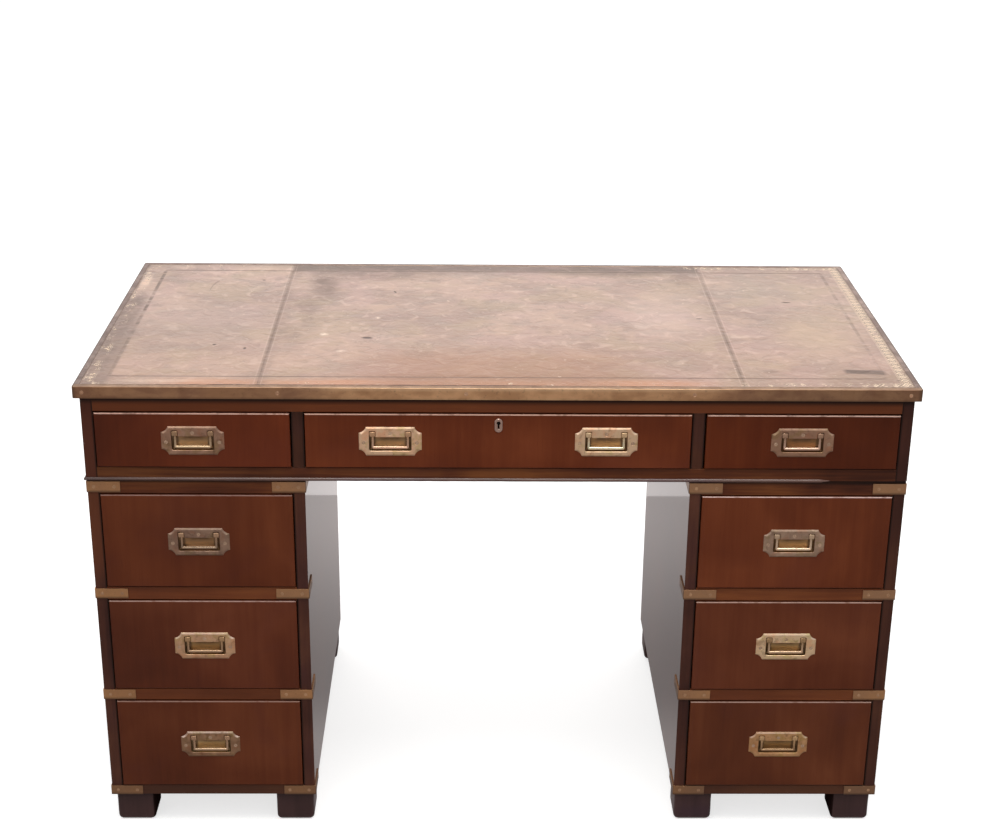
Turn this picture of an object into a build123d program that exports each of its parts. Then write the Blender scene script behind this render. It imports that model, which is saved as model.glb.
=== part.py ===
from build123d import *
import math
import os

# Campaign desk: a top section with three frieze drawers that lifts off two
# pedestals with three drawers each. Millimetres, +Z up. The origin is on the
# floor under the middle of the desk, +X runs to the sitter's right and the
# drawers face -Y.

# ---------------------------------------------------------------- dimensions
W = 1220.0              # over the brass edge of the top
D = 610.0
H = 745.0

# desk top
EDGE_H = 18.0           # height of the brass edge binding
EDGE_T = 2.0            # thickness of its upright leg
LIP_W = 9.0             # width of its top lip
LIP_T = 1.2             # thickness of the lip and of the leather
EDGE_R = 3.0            # corner radius in plan
SEAM_LEFT_X = -348.0    # seams between the three leather panels
SEAM_RIGHT_X = 356.0
EDGE_SCREWS_X = (-596.0, -317.0, -47.0, 281.0, 593.0)
EDGE_SCREWS_Y = (-290.0, 0.0, 290.0)

# top section (frieze)
CASE_X = 602.5          # outer face of the sides of frieze and pedestals
BOARD = 17.2            # thickness of the upright boards
FRIEZE_Y = 293.0        # front and back faces of the frieze
FRIEZE_Z0 = 596.5       # underside of the top section
FRIEZE_Z1 = H - EDGE_H
TOP_RAIL_Z0 = 703.0
LOW_RAIL_Z1 = 615.0
RAIL_D = 60.0           # depth of the frieze rails
DIVIDER_IN = 282.0      # inner and outer face of each divider
DIVIDER_OUT = 300.0
BACK_T = 12.0
RUNNER_W = 24.0
BEAD_R = 2.25           # half-round bead round the base of the top section

# pedestals
PED_IN = 283.5          # face towards the kneehole
PED_Y = 289.5           # front and back faces
PED_Z0 = 52.0           # top of the feet
PED_Z1 = 596.0
PED_RAIL_D = 50.0
RAILS_Z = ((572.0, 596.0), (397.0, 417.2), (223.2, 242.0), (52.0, 68.0))
PED_BACK_T = 10.0
PED_RUNNER_W = 18.0
TOP_BOARD_T = 12.0

# feet
FOOT = 59.0             # square in plan
FOOT_IN_OUTER = 5.1     # set in from the outer face of each pedestal
FOOT_IN_INNER = 3.2     # and from the face towards the kneehole
FOOT_IN_Y = 4.5
FOOT_CORNER_R = 6.0     # upright edges
FOOT_R = 5.0            # edges on the floor

# brass corner straps
STRAPS_Z = ((574.0, 591.0), (399.0, 415.0), (224.5, 241.0), (52.0, 67.8))
STRAP_L = 49.8          # length of each leg, from the outside of the corner
STRAP_T = 1.5
STRAP_SCREWS = (11.0, 41.0)   # from the outside of the corner

# drawers
FRONT_T = 20.0
PROUD = 3.0             # the fronts stand in front of the rails
FRONT_R = 1.8           # softened edges of the fronts
SIDE_T = 9.5
DRAWER_BACK_T = 9.0
BOTTOM_T = 6.0
GROOVE = 4.0            # depth of the grooves that hold the bottom
RUN_GAP = 0.4           # drawer side above its runner
BOTTOM_UP = 8.0         # drawer bottom above the runner
TAIL_L = 12.0           # length of the half-blind dovetails
TAIL_SLOPE = math.tan(math.radians(9.0))
DRAWER_X0, DRAWER_X1 = 302.2, 583.9     # outer drawers, from the middle
CENTRE_X = 280.6                        # half width of the centre drawer
TOP_DRAWER_Z = (616.5, 701.0)
PED_DRAWERS_Z = ((419.3, 570.0), (244.0, 395.0), (70.0, 221.2))
STOP_H = 6.0            # stop blocks on the rails, behind the drawer fronts

# flush pulls
PLATE_W, PLATE_H, PLATE_T = 91.2, 44.8, 1.6
NOTCH_R = 13.1          # radius of the scooped corners
NOTCH_OUT = (2.15, 3.7)  # its centre lies this far outside the plate's corner
CUP_U, CUP_V0, CUP_V1, CUP_W = 30.6, -14.6, 6.4, 8.4   # recess in the plate
POCKET_U, POCKET_V1, POCKET_W = 20.6, 16.6, 6.4        # bays for the knuckles
CUP_WALL = 1.7
BAIL_AXIS_V, BAIL_AXIS_W = 10.9, -1.0   # the bail's pivot line
KNUCKLE_V0, KNUCKLE_V1 = 7.0, 14.9      # square knuckles at the top of its arms
KNUCKLE_W0, KNUCKLE_W1 = -3.5, 1.7
KNUCKLE_R = 1.2
BAIL_BAR_V, BAIL_BAR_W = -10.0, -0.7
BAIL_BAR_R = 2.3
PIN_R, PIN_HOLE_R = 1.0, 1.06
CENTRE_PULLS_X = 157.0

# lock of the centre drawer
KEYHOLE_Z = 687.8
KEYHOLE_R = 2.9
KEYSLOT_W = 3.0
KEYSLOT_Z0 = 678.8
LOCK_X, LOCK_Z0 = 24.0, 662.0
LOCK_D = 11.0

# locating pegs
PEG_R, PEG_HOLE_R, PEG_UP = 6.0, 6.4, 10.0
PEGS_X = (312.0, 572.0)
PEG_FRONT_Y, PEG_REAR_Y = -262.0, 240.0

os.makedirs("parts", exist_ok=True)


# ------------------------------------------------------------------- helpers
def box(x0, x1, y0, y1, z0, z1):
    return Pos((x0 + x1) / 2, (y0 + y1) / 2, (z0 + z1) / 2) * Box(
        abs(x1 - x0), abs(y1 - y0), abs(z1 - z0)
    )


def flat(shape):
    """Every separate solid of a shape or of a list of shapes."""
    if isinstance(shape, (list, tuple)):
        return [s for one in shape for s in flat(one)]
    return list(shape.solids())


def write(name, *shapes):
    solids = flat(list(shapes))
    export_step(Compound(children=solids), f"parts/{name}.step")
    print(name, len(solids), round(sum(s.volume for s in solids) / 1000.0, 2), "cm3")


def facing(x, y, z, out):
    """Location whose local +Z points along out."""
    if abs(out[1]) > 0.5:
        return Plane(origin=(x, y, z), x_dir=(1, 0, 0), z_dir=out).location
    return Plane(origin=(x, y, z), x_dir=(0, 1, 0), z_dir=out).location


def screw(head_r, head_h, shank_r, length, turn=20.0):
    """Countersunk slotted screw, its head flush with local z = 0."""
    body = Pos(0, 0, -head_h / 2) * Cone(shank_r, head_r, head_h)
    body += Pos(0, 0, -(head_h + length) / 2) * Cylinder(shank_r, length - head_h)
    body -= Pos(0, 0, -0.15) * (Rot(0, 0, turn) * Box(3 * head_r, 0.7, 0.9))
    return body


def screw_hole(head_r, head_h, shank_r, length, slack=0.05):
    """The countersink and the pilot hole that such a screw sits in."""
    hole = Pos(0, 0, -head_h / 2) * Cone(shank_r + slack, head_r + slack, head_h)
    hole += Pos(0, 0, -(length + 0.5) / 2) * Cylinder(shank_r + slack, length + 0.5)
    hole += Pos(0, 0, 0.5) * Cylinder(head_r + slack, 1.0)
    return hole


def outer_edges(shape, test):
    return [e for e in shape.edges() if test(e.center())]


# ------------------------------------------------------------------ desk top
hx, hy = W / 2, D / 2
top_panel = box(-hx + EDGE_T, hx - EDGE_T, -hy + EDGE_T, hy - EDGE_T, FRIEZE_Z1, H - LIP_T)

ring = box(-hx, hx, -hy, hy, FRIEZE_Z1, H)
ring = fillet(ring.edges().filter_by(Axis.Z), EDGE_R)
ring = fillet(outer_edges(ring, lambda c: abs(c.Z - H) < 1e-6), 1.0)
ring -= box(-hx + EDGE_T, hx - EDGE_T, -hy + EDGE_T, hy - EDGE_T, FRIEZE_Z1 - 1, H - LIP_T)
ring -= box(-hx + LIP_W, hx - LIP_W, -hy + LIP_W, hy - LIP_W, H - LIP_T - 1, H + 1)

EDGE_SCREW = (2.9, 1.8, 1.3, 14.0)
edge_spots = []
for x in EDGE_SCREWS_X:
    edge_spots.append((x, -hy, (0, -1, 0)))
    edge_spots.append((-x, hy, (0, 1, 0)))
for y in EDGE_SCREWS_Y:
    edge_spots.append((-hx, y, (-1, 0, 0)))
    edge_spots.append((hx, y, (1, 0, 0)))
edge_screws = []
for i, (x, y, out) in enumerate(edge_spots):
    where = facing(x, y, H - EDGE_H / 2, out)
    edge_screws.append(where * screw(*EDGE_SCREW, turn=(i * 47) % 180))
    hole = where * screw_hole(*EDGE_SCREW)
    ring -= hole
    top_panel -= hole

far = 40.0
mitres = [
    [(-hx - far, -hy - far), (hx + far, -hy - far), (hx - hy, 0), (-hx + hy, 0)],
    [(hx + far, hy + far), (-hx - far, hy + far), (-hx + hy, 0), (hx - hy, 0)],
    [(-hx - far, hy + far), (-hx - far, -hy - far), (-hx + hy, 0)],
    [(hx + far, -hy - far), (hx + far, hy + far), (hx - hy, 0)],
]
binding = []
for corners in mitres:
    prism = extrude(make_face(Polyline(*corners, close=True)), H + 10)
    binding.append(ring & prism)

leather = []
lx, ly = hx - LIP_W - 0.2, hy - LIP_W - 0.2
for x0, x1 in ((-lx, SEAM_LEFT_X - 0.1), (SEAM_LEFT_X + 0.1, SEAM_RIGHT_X - 0.1), (SEAM_RIGHT_X + 0.1, lx)):
    leather.append(box(x0, x1, -ly, ly, H - LIP_T, H))

# --------------------------------------------------------- top section, case
mid_x = CASE_X - BOARD
frieze_sides = []
for s in (-1, 1):
    board = box(s * mid_x, s * CASE_X, -FRIEZE_Y, FRIEZE_Y, FRIEZE_Z0, FRIEZE_Z1)
    frieze_sides.append(board)

rail_y = -FRIEZE_Y + RAIL_D
back_y = FRIEZE_Y - BACK_T
frieze_back = box(-mid_x, mid_x, back_y, FRIEZE_Y, FRIEZE_Z0, FRIEZE_Z1)
top_rail = box(-mid_x, mid_x, -FRIEZE_Y, rail_y, TOP_RAIL_Z0, FRIEZE_Z1)
low_rail = box(-mid_x, mid_x, -FRIEZE_Y, rail_y, FRIEZE_Z0, LOW_RAIL_Z1)

dividers = []
for s in (-1, 1):
    tongue = box(s * DIVIDER_IN, s * DIVIDER_OUT, -FRIEZE_Y, rail_y, LOW_RAIL_Z1, TOP_RAIL_Z0)
    rest = box(s * DIVIDER_IN, s * DIVIDER_OUT, rail_y, back_y, FRIEZE_Z0, FRIEZE_Z1)
    dividers.append(tongue + rest)

frieze_runners = []
for s in (-1, 1):
    for x0, x1 in (
        (mid_x - RUNNER_W, mid_x),
        (DIVIDER_OUT, DIVIDER_OUT + RUNNER_W),
        (DIVIDER_IN - RUNNER_W, DIVIDER_IN),
    ):
        frieze_runners.append(box(s * x0, s * x1, rail_y, back_y, FRIEZE_Z0, LOW_RAIL_Z1))

front_y = -FRIEZE_Y - PROUD
frieze_stops = []
for x in (-523.0, -363.0, -200.0, 200.0, 363.0, 523.0):
    y0 = front_y + FRONT_T + 0.3
    frieze_stops.append(box(x - 14, x + 14, y0, y0 + 12, LOW_RAIL_Z1, LOW_RAIL_Z1 + STOP_H))

# holes for the locating pegs
peg_spots = [
    (s * x, y) for s in (-1, 1) for x in PEGS_X for y in (PEG_FRONT_Y, PEG_REAR_Y)
]
for x, y in peg_spots:
    hole = Pos(x, y, FRIEZE_Z0 + (PEG_UP + 2) / 2 - 0.5) * Cylinder(PEG_HOLE_R, PEG_UP + 3)
    if y < 0:
        low_rail -= hole
    else:
        frieze_runners = [r - hole if r.bounding_box().min.X < x < r.bounding_box().max.X else r for r in frieze_runners]

# mortise for the lock bolt
LOCK_Y0 = front_y + FRONT_T - LOCK_D
top_rail -= box(-11, 11, LOCK_Y0 + 2.2, LOCK_Y0 + 8.8, TOP_RAIL_Z0 - 1, TOP_RAIL_Z0 + 8)

# half-round bead; the right end of the front strip is broken away
bead_z = FRIEZE_Z0 + BEAD_R
bead_end = 489.0
front_bead = Pos((-CASE_X - BEAD_R + bead_end) / 2, -FRIEZE_Y, bead_z) * (
    Rot(0, 90, 0) * Cylinder(BEAD_R, bead_end + CASE_X + BEAD_R)
)
front_bead &= box(-CASE_X - BEAD_R, bead_end, -FRIEZE_Y - 10, -FRIEZE_Y, FRIEZE_Z0, FRIEZE_Z0 + 10)
left_bead = Pos(-CASE_X, 0, bead_z) * (Rot(90, 0, 0) * Cylinder(BEAD_R, 2 * (FRIEZE_Y + BEAD_R)))
left_bead &= box(-CASE_X - 10, -CASE_X, -FRIEZE_Y - BEAD_R, FRIEZE_Y, FRIEZE_Z0, FRIEZE_Z0 + 10)
right_bead = Pos(CASE_X, 0, bead_z) * (Rot(90, 0, 0) * Cylinder(BEAD_R, 2 * FRIEZE_Y))
right_bead &= box(CASE_X, CASE_X + 10, -FRIEZE_Y + 34, FRIEZE_Y, FRIEZE_Z0, FRIEZE_Z0 + 10)
cut = 30.0
mitre = extrude(
    make_face(
        Polyline(
            (-CASE_X, -FRIEZE_Y), (-CASE_X - cut, -FRIEZE_Y - cut), (-CASE_X - cut, FRIEZE_Y + cut), (-CASE_X, FRIEZE_Y + cut), close=True
        )
    ),
    H,
)
left_bead &= mitre
front_bead -= mitre
# the split: a long splinter that runs out to nothing
splinter = extrude(
    make_face(
        Polyline((476.0, -FRIEZE_Y - 5), (479.0, -FRIEZE_Y - 1.5), (485.0, -FRIEZE_Y - 0.8), (490.0, -FRIEZE_Y), (504.0, -FRIEZE_Y), (504.0, -FRIEZE_Y - 5), close=True)
    ),
    H,
)
front_bead -= splinter


# ------------------------------------------------------------------- a pull
def pull(cx, cz, face_y, turn):
    """Flush pull on a drawer front whose face is at face_y.

    Local axes: u along +X, v along +Z, w out of the drawer, w = 0 on the face.
    Returns the plate with its screws, the bail and the tool that cuts the front.
    """
    outline = Rectangle(PLATE_W, PLATE_H)
    for su in (-1, 1):
        for sv in (-1, 1):
            outline -= Pos(su * (PLATE_W / 2 + NOTCH_OUT[0]), sv * (PLATE_H / 2 + NOTCH_OUT[1])) * Circle(NOTCH_R)
    plate = extrude(outline, PLATE_T)
    plate = chamfer(outer_edges(plate, lambda c: abs(c.Z - PLATE_T) < 1e-6), 0.8)
    v1 = POCKET_V1 + CUP_WALL
    plate += box(-CUP_U - CUP_WALL, CUP_U + CUP_WALL, CUP_V0 - CUP_WALL, v1, -CUP_W - 1.2, 0)
    recess = box(-CUP_U, CUP_U, CUP_V0, CUP_V1, -CUP_W, PLATE_T + 1)
    recess = fillet(
        outer_edges(recess, lambda c: abs(abs(c.X) - CUP_U) < 1e-6 and abs(c.Y - CUP_V0) < 1e-6), 2.0
    )
    plate -= recess
    for s in (-1, 1):
        plate -= box(s * POCKET_U, s * CUP_U, CUP_V1 - 1, POCKET_V1, -POCKET_W, PLATE_T + 1)
        plate -= Pos(s * (CUP_U + CUP_WALL / 2), BAIL_AXIS_V, BAIL_AXIS_W) * (
            Rot(0, 90, 0) * Cylinder(PIN_HOLE_R, CUP_WALL + 1)
        )
    spots = ((-38.6, -2.2, 11.0), (38.6, -2.2, 11.0), (0.0, 12.2, 16.0))
    screws = []
    tool = box(-CUP_U - CUP_WALL - 0.3, CUP_U + CUP_WALL + 0.3, CUP_V0 - CUP_WALL - 0.3, v1 + 0.3, -CUP_W - 1.5, 1)
    for i, (u, v, long) in enumerate(spots):
        plate -= Pos(u, v, PLATE_T) * screw_hole(2.8, 1.5, 1.2, long)
        tool += Pos(u, v, PLATE_T) * screw_hole(2.0, 1.0, 1.2, long)
        screws.append(Pos(u, v, PLATE_T) * screw(2.8, 1.5, 1.2, long, turn=(turn + 61 * i) % 180))

    bail = Pos(0, BAIL_BAR_V, BAIL_BAR_W) * (Rot(0, 90, 0) * Cylinder(BAIL_BAR_R, 54.6))
    for s in (-1, 1):
        bail += box(s * 23.7, s * 27.3, BAIL_BAR_V, BAIL_AXIS_V, BAIL_BAR_W - 1.5, BAIL_BAR_W + 1.5)
        knuckle = box(s * 21.8, s * 30.0, KNUCKLE_V0, KNUCKLE_V1, KNUCKLE_W0, KNUCKLE_W1)
        bail += fillet(knuckle.edges().filter_by(Axis.X), KNUCKLE_R)
        bail += Pos(s * (30.0 + 31.8) / 2, BAIL_AXIS_V, BAIL_AXIS_W) * (
            Rot(0, 90, 0) * Cylinder(PIN_R, 31.8 - 30.0 + 0.4)
        )
    where = facing(cx, face_y, cz, (0, -1, 0))
    return [where * plate] + [where * s for s in screws], where * bail, where * tool


# ------------------------------------------------------------------ a drawer
def drawer(x0, x1, z0, z1, face_y, run_z, back_to, pulls, tails, lock=False):
    """Front, box boards, pulls and, on the centre drawer, the lock."""
    y1 = face_y + FRONT_T
    front = box(x0, x1, face_y, y1, z0, z1)
    front = fillet(outer_edges(front, lambda c: abs(c.Y - face_y) < 1e-6), FRONT_R)
    sz0, sz1 = run_z + RUN_GAP, z1 - 6.0
    bz0 = run_z + BOTTOM_UP
    inner0, inner1 = x0 + SIDE_T, x1 - SIDE_T
    bottom = box(inner0 - GROOVE, inner1 + GROOVE, y1 - GROOVE, back_to, bz0, bz0 + BOTTOM_T)
    back = box(inner0, inner1, back_to - DRAWER_BACK_T, back_to, bz0 + BOTTOM_T, sz1 - 8.0)
    front -= box(inner0 - GROOVE, inner1 + GROOVE, y1 - GROOVE, y1 + 1, bz0, bz0 + BOTTOM_T)
    sides = []
    low, high = z0 + 3.0, sz1 - 2.0
    pitch = (high - low) / tails
    for a, b, s in ((x0, inner0, 1), (inner1, x1, -1)):
        side = box(a, b, y1, back_to, sz0, sz1)
        for i in range(tails):
            zc = low + pitch * (i + 0.5)
            root, tip = 0.31 * pitch, 0.31 * pitch + TAIL_L * TAIL_SLOPE
            shape = Plane.YZ.offset(a) * make_face(
                Polyline((y1 + 0.5, zc - root), (y1, zc - root), (y1 - TAIL_L, zc - tip), (y1 - TAIL_L, zc + tip), (y1, zc + root), (y1 + 0.5, zc + root), close=True)
            )
            tail = extrude(shape, b - a, dir=(1, 0, 0))
            side += tail
            front -= tail
        g0, g1 = (b - GROOVE, b) if s > 0 else (a, a + GROOVE)
        groove = box(g0, g1, y1 - GROOVE, back_to, bz0, bz0 + BOTTOM_T)
        side -= groove
        front -= groove
        sides.append(side)
    plates, bails = [], []
    for i, (cx, cz) in enumerate(pulls):
        plate, bail, tool = pull(cx, cz, face_y, 30 + 37 * i + int(abs(cx + cz)) % 90)
        front -= tool
        plates.append(plate)
        bails.append(bail)
    extra = {}
    if lock:
        ly0, ly1 = y1 - LOCK_D, y1
        key = Pos(0, 0, 0) * box(-KEYSLOT_W / 2, KEYSLOT_W / 2, face_y - 4, ly0 + 3.2, KEYSLOT_Z0, KEYHOLE_Z)
        key += Pos(0, (face_y - 4 + ly0 + 3.2) / 2, KEYHOLE_Z) * (
            Rot(90, 0, 0) * Cylinder(KEYHOLE_R, ly0 + 3.2 - face_y + 4)
        )
        case = box(-LOCK_X, LOCK_X, ly0, ly1, LOCK_Z0, z1 - 0.2)
        case -= box(-9.4, 9.4, ly0 + 3.0, ly0 + 8.0, LOCK_Z0 + 4.5, z1 + 1)
        bolt = box(-9.0, 9.0, ly0 + 3.4, ly0 + 7.6, LOCK_Z0 + 12.0, z1 - 0.4)
        bolt -= box(-3.0, 3.0, ly0 + 3.0, ly0 + 8.0, LOCK_Z0 + 11.0, LOCK_Z0 + 17.0)
        oval_z0, oval_z1, oval_r = 673.3, 694.8, 5.8
        oval = Pos(0, 0, oval_z1 - oval_r) * (Rot(90, 0, 0) * Cylinder(oval_r, 3.4))
        oval += Pos(0, 0, oval_z0 + oval_r) * (Rot(90, 0, 0) * Cylinder(oval_r, 3.4))
        oval += box(-oval_r, oval_r, -1.7, 1.7, oval_z0 + oval_r, oval_z1 - oval_r)
        oval = Pos(0, face_y + 0.7, 0) * oval
        front -= oval
        oval = chamfer(outer_edges(oval, lambda c: abs(c.Y - (face_y - 1.0)) < 1e-6), 0.6)
        oval -= key
        case -= key
        front -= box(-LOCK_X - 0.1, LOCK_X + 0.1, ly0, ly1 + 1, LOCK_Z0 - 0.1, z1 + 1)
        front -= key
        extra = {"lock_case": case, "lock_bolt": bolt, "keyhole_escutcheon": oval}
    return front, sides + [back, bottom], plates, bails, extra


top_z = (TOP_DRAWER_Z[0] + TOP_DRAWER_Z[1]) / 2
outer_mid = (DRAWER_X0 + DRAWER_X1) / 2
top_back = back_y - 26.0
ped_face = -PED_Y - PROUD
ped_back = PED_Y - PED_BACK_T - 26.0

for side, s in (("left", -1), ("right", 1)):
    x0, x1 = sorted((s * DRAWER_X0, s * DRAWER_X1))
    front, boards, plates, bails, _ = drawer(
        x0, x1, *TOP_DRAWER_Z, front_y, LOW_RAIL_Z1, top_back, [(s * outer_mid, top_z)], 3
    )
    write(f"top_{side}_drawer_front", front)
    write(f"top_{side}_drawer_box", boards)
    write(f"top_{side}_pull_plate", plates)
    write(f"top_{side}_pull_bail", bails)
    for level, (z0, z1), rail in zip(("upper", "middle", "lower"), PED_DRAWERS_Z, RAILS_Z[1:]):
        front, boards, plates, bails, _ = drawer(
            x0, x1, z0, z1, ped_face, rail[1], ped_back, [(s * outer_mid, (z0 + z1) / 2)], 5
        )
        write(f"{side}_{level}_drawer_front", front)
        write(f"{side}_{level}_drawer_box", boards)
        write(f"{side}_{level}_pull_plate", plates)
        write(f"{side}_{level}_pull_bail", bails)

front, boards, plates, bails, extra = drawer(
    -CENTRE_X, CENTRE_X, *TOP_DRAWER_Z, front_y, LOW_RAIL_Z1, top_back,
    [(-CENTRE_PULLS_X, top_z), (CENTRE_PULLS_X, top_z)], 3, lock=True,
)
write("top_centre_drawer_front", front)
write("top_centre_drawer_box", boards)
write("top_centre_left_pull_plate", plates[0])
write("top_centre_right_pull_plate", plates[1])
write("top_centre_left_pull_bail", bails[0])
write("top_centre_right_pull_bail", bails[1])
for name, solid in extra.items():
    write(name, solid)

write("desk_top_panel", top_panel)
write("leather_panels", leather)
write("brass_edge_binding", binding)
write("edge_binding_screws", edge_screws)
write("frieze_sides", frieze_sides)
write("frieze_dividers", dividers)
write("frieze_back", frieze_back)
write("frieze_rails", top_rail, low_rail)
write("frieze_runners_and_stops", frieze_runners, frieze_stops)
write("base_bead", front_bead, left_bead, right_bead)

# ----------------------------------------------------------------- pedestals
ped_sides, ped_backs, ped_rails, ped_boards, ped_runners = [], [], [], [], []
feet, straps, strap_screws, pegs = [], [], [], []
STRAP_SCREW = (2.6, 1.4, 1.15, 9.0)
for s in (-1, 1):
    outer = box(s * mid_x, s * CASE_X, -PED_Y, PED_Y, PED_Z0, PED_Z1)
    inner = box(s * PED_IN, s * (PED_IN + BOARD), -PED_Y, PED_Y, PED_Z0, PED_Z1)
    a, b = sorted((s * (PED_IN + BOARD), s * mid_x))
    ped_backs.append(box(a, b, PED_Y - PED_BACK_T, PED_Y, PED_Z0, PED_Z1))
    rails = [box(a, b, -PED_Y, -PED_Y + PED_RAIL_D, z0, z1) for z0, z1 in RAILS_Z]
    behind = (-PED_Y + PED_RAIL_D, PED_Y - PED_BACK_T)
    top_board = box(a, b, *behind, PED_Z1 - TOP_BOARD_T, PED_Z1)
    base_board = box(a, b, *behind, RAILS_Z[3][0], RAILS_Z[3][1])
    for z0, z1 in RAILS_Z[1:3]:
        ped_runners.append(box(a, a + PED_RUNNER_W, *behind, z0, z1))
        ped_runners.append(box(b - PED_RUNNER_W, b, *behind, z0, z1))
    for z0, z1 in RAILS_Z[1:]:
        for x in (s * 363.0, s * 523.0):
            y0 = ped_face + FRONT_T + 0.3
            ped_runners.append(box(x - 14, x + 14, y0, y0 + 12, z1, z1 + STOP_H))

    for x, y in peg_spots:
        if x * s < 0:
            continue
        z0 = PED_Z1 - (18.0 if y < 0 else 10.0)
        peg = Pos(x, y, (z0 + PED_Z1 + PEG_UP) / 2) * Cylinder(PEG_R, PED_Z1 + PEG_UP - z0)
        peg = chamfer(outer_edges(peg, lambda c: abs(c.Z - (PED_Z1 + PEG_UP)) < 1e-6), 1.5)
        pegs.append(peg)
        hole = Pos(x, y, (z0 + PED_Z1 + 1) / 2) * Cylinder(PEG_R + 0.02, PED_Z1 + 1 - z0)
        if y < 0:
            rails[0] -= hole
        else:
            top_board -= hole

    # corner straps, each wrapped round a front corner onto the side
    for edge, turn in ((s * CASE_X, s), (s * PED_IN, -s)):
        # turn is the way out of the pedestal along X at this corner
        for level, (z0, z1) in enumerate(STRAPS_Z):
            ox = edge + turn * STRAP_T
            oy = -PED_Y - STRAP_T
            strap = box(ox, ox - turn * STRAP_L, oy, oy + STRAP_L, z0, z1)
            strap = fillet(
                outer_edges(strap, lambda c: abs(c.X - ox) < 1e-6 and abs(c.Y - oy) < 1e-6 and abs(c.Z - (z0 + z1) / 2) < 1e-6), 1.4
            )
            strap -= box(edge, edge - turn * (STRAP_L + 5), -PED_Y, oy + STRAP_L + 5, z0 - 1, z1 + 1)
            zc = (z0 + z1) / 2
            for k, reach in enumerate(STRAP_SCREWS):
                for where in (
                    facing(ox - turn * reach, oy, zc, (0, -1, 0)),
                    facing(ox, oy + reach, zc, (turn, 0, 0)),
                ):
                    angle = (level * 53 + k * 71 + (40 if s > 0 else 0) + len(strap_screws) * 29) % 180
                    strap_screws.append(where * screw(*STRAP_SCREW, turn=angle))
                    hole = where * screw_hole(*STRAP_SCREW)
                    strap -= hole
                    if edge == s * CASE_X:
                        outer -= hole
                    else:
                        inner -= hole
                    if reach > BOARD:
                        rails[level] -= hole
            straps.append(strap)
    ped_sides += [outer, inner]
    ped_rails += rails
    ped_boards += [top_board, base_board]

    for x0 in (s * (CASE_X - FOOT_IN_OUTER), s * (PED_IN + FOOT_IN_INNER + FOOT)):
        for y0 in (-PED_Y + FOOT_IN_Y, PED_Y - FOOT_IN_Y - FOOT):
            foot = box(x0, x0 - s * FOOT, y0, y0 + FOOT, 0, PED_Z0)
            foot = fillet(foot.edges().filter_by(Axis.Z), FOOT_CORNER_R)
            foot = fillet(outer_edges(foot, lambda c: abs(c.Z) < 1e-6), FOOT_R)
            feet.append(foot)

write("pedestal_sides", ped_sides)
write("pedestal_backs", ped_backs)
write("pedestal_rails", ped_rails)
write("pedestal_top_and_base_boards", ped_boards)
write("pedestal_runners_and_stops", ped_runners)
write("pedestal_feet", feet)
write("corner_straps", straps)
write("corner_strap_screws", strap_screws)
write("locating_pegs", pegs)
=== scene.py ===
import math

import bmesh
import bpy
from mathutils import Matrix, Vector, noise
from mathutils.geometry import delaunay_2d_cdt


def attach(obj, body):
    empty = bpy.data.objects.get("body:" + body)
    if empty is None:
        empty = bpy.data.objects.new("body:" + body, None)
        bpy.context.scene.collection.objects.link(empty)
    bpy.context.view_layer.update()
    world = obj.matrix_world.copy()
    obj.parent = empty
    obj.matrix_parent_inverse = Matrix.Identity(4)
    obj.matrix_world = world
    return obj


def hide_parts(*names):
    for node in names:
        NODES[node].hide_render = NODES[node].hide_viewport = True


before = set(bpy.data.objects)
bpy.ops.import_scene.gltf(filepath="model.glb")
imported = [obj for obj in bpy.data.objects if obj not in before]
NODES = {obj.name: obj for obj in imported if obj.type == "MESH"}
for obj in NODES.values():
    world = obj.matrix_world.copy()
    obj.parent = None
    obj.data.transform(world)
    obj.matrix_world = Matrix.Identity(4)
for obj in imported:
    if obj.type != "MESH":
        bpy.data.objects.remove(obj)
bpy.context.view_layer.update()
MM = 0.001
scene = bpy.context.scene


# ------------------------------------------------------------------ the camera
def rotation(yaw, pitch, roll):
    rz = Matrix(((math.cos(yaw), -math.sin(yaw), 0), (math.sin(yaw), math.cos(yaw), 0), (0, 0, 1)))
    rx = Matrix(((1, 0, 0), (0, math.cos(pitch), -math.sin(pitch)), (0, math.sin(pitch), math.cos(pitch))))
    ry = Matrix(((math.cos(roll), 0, math.sin(roll)), (0, 1, 0), (-math.sin(roll), 0, math.cos(roll))))
    return rz @ rx @ ry


turned = rotation(-0.0171965, -0.3764044, -0.0102837)
right, forward, up = (Vector(turned.col[i]) for i in range(3))
camera_data = bpy.data.cameras.new("camera")
camera_data.sensor_width = 36.0
camera_data.lens = 63.5809
camera_data.clip_start, camera_data.clip_end = 0.05, 200.0
camera = bpy.data.objects.new("camera", camera_data)
scene.collection.objects.link(camera)
look = Matrix((right, up, -forward)).transposed().to_4x4()
camera.matrix_world = Matrix.Translation((-0.042988, -2.650943, 1.639908)) @ look
scene.camera = camera


# ------------------------------------------------------------- small utilities
def new_object(name, mesh):
    made = bpy.data.objects.new(name, mesh)
    scene.collection.objects.link(made)
    return made


def mesh_from(name, verts, faces, scale=MM):
    mesh = bpy.data.meshes.new(name)
    mesh.from_pydata([tuple(c * scale for c in v) for v in verts], [], faces)
    mesh.update()
    return mesh


def smooth_by_angle(mesh, degrees):
    mesh.polygons.foreach_set("use_smooth", [True] * len(mesh.polygons))
    mesh.set_sharp_from_angle(angle=math.radians(degrees))


def flat_noise(x, y, z=0.0):
    """Smooth value noise, about -1 to 1, with a period of one unit."""
    return noise.noise(Vector((x, y, z)))


# ------------------------------------------------------------ node tree helper
LIFT = 0.005             # patterns are laid out from this height above the floor


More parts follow.
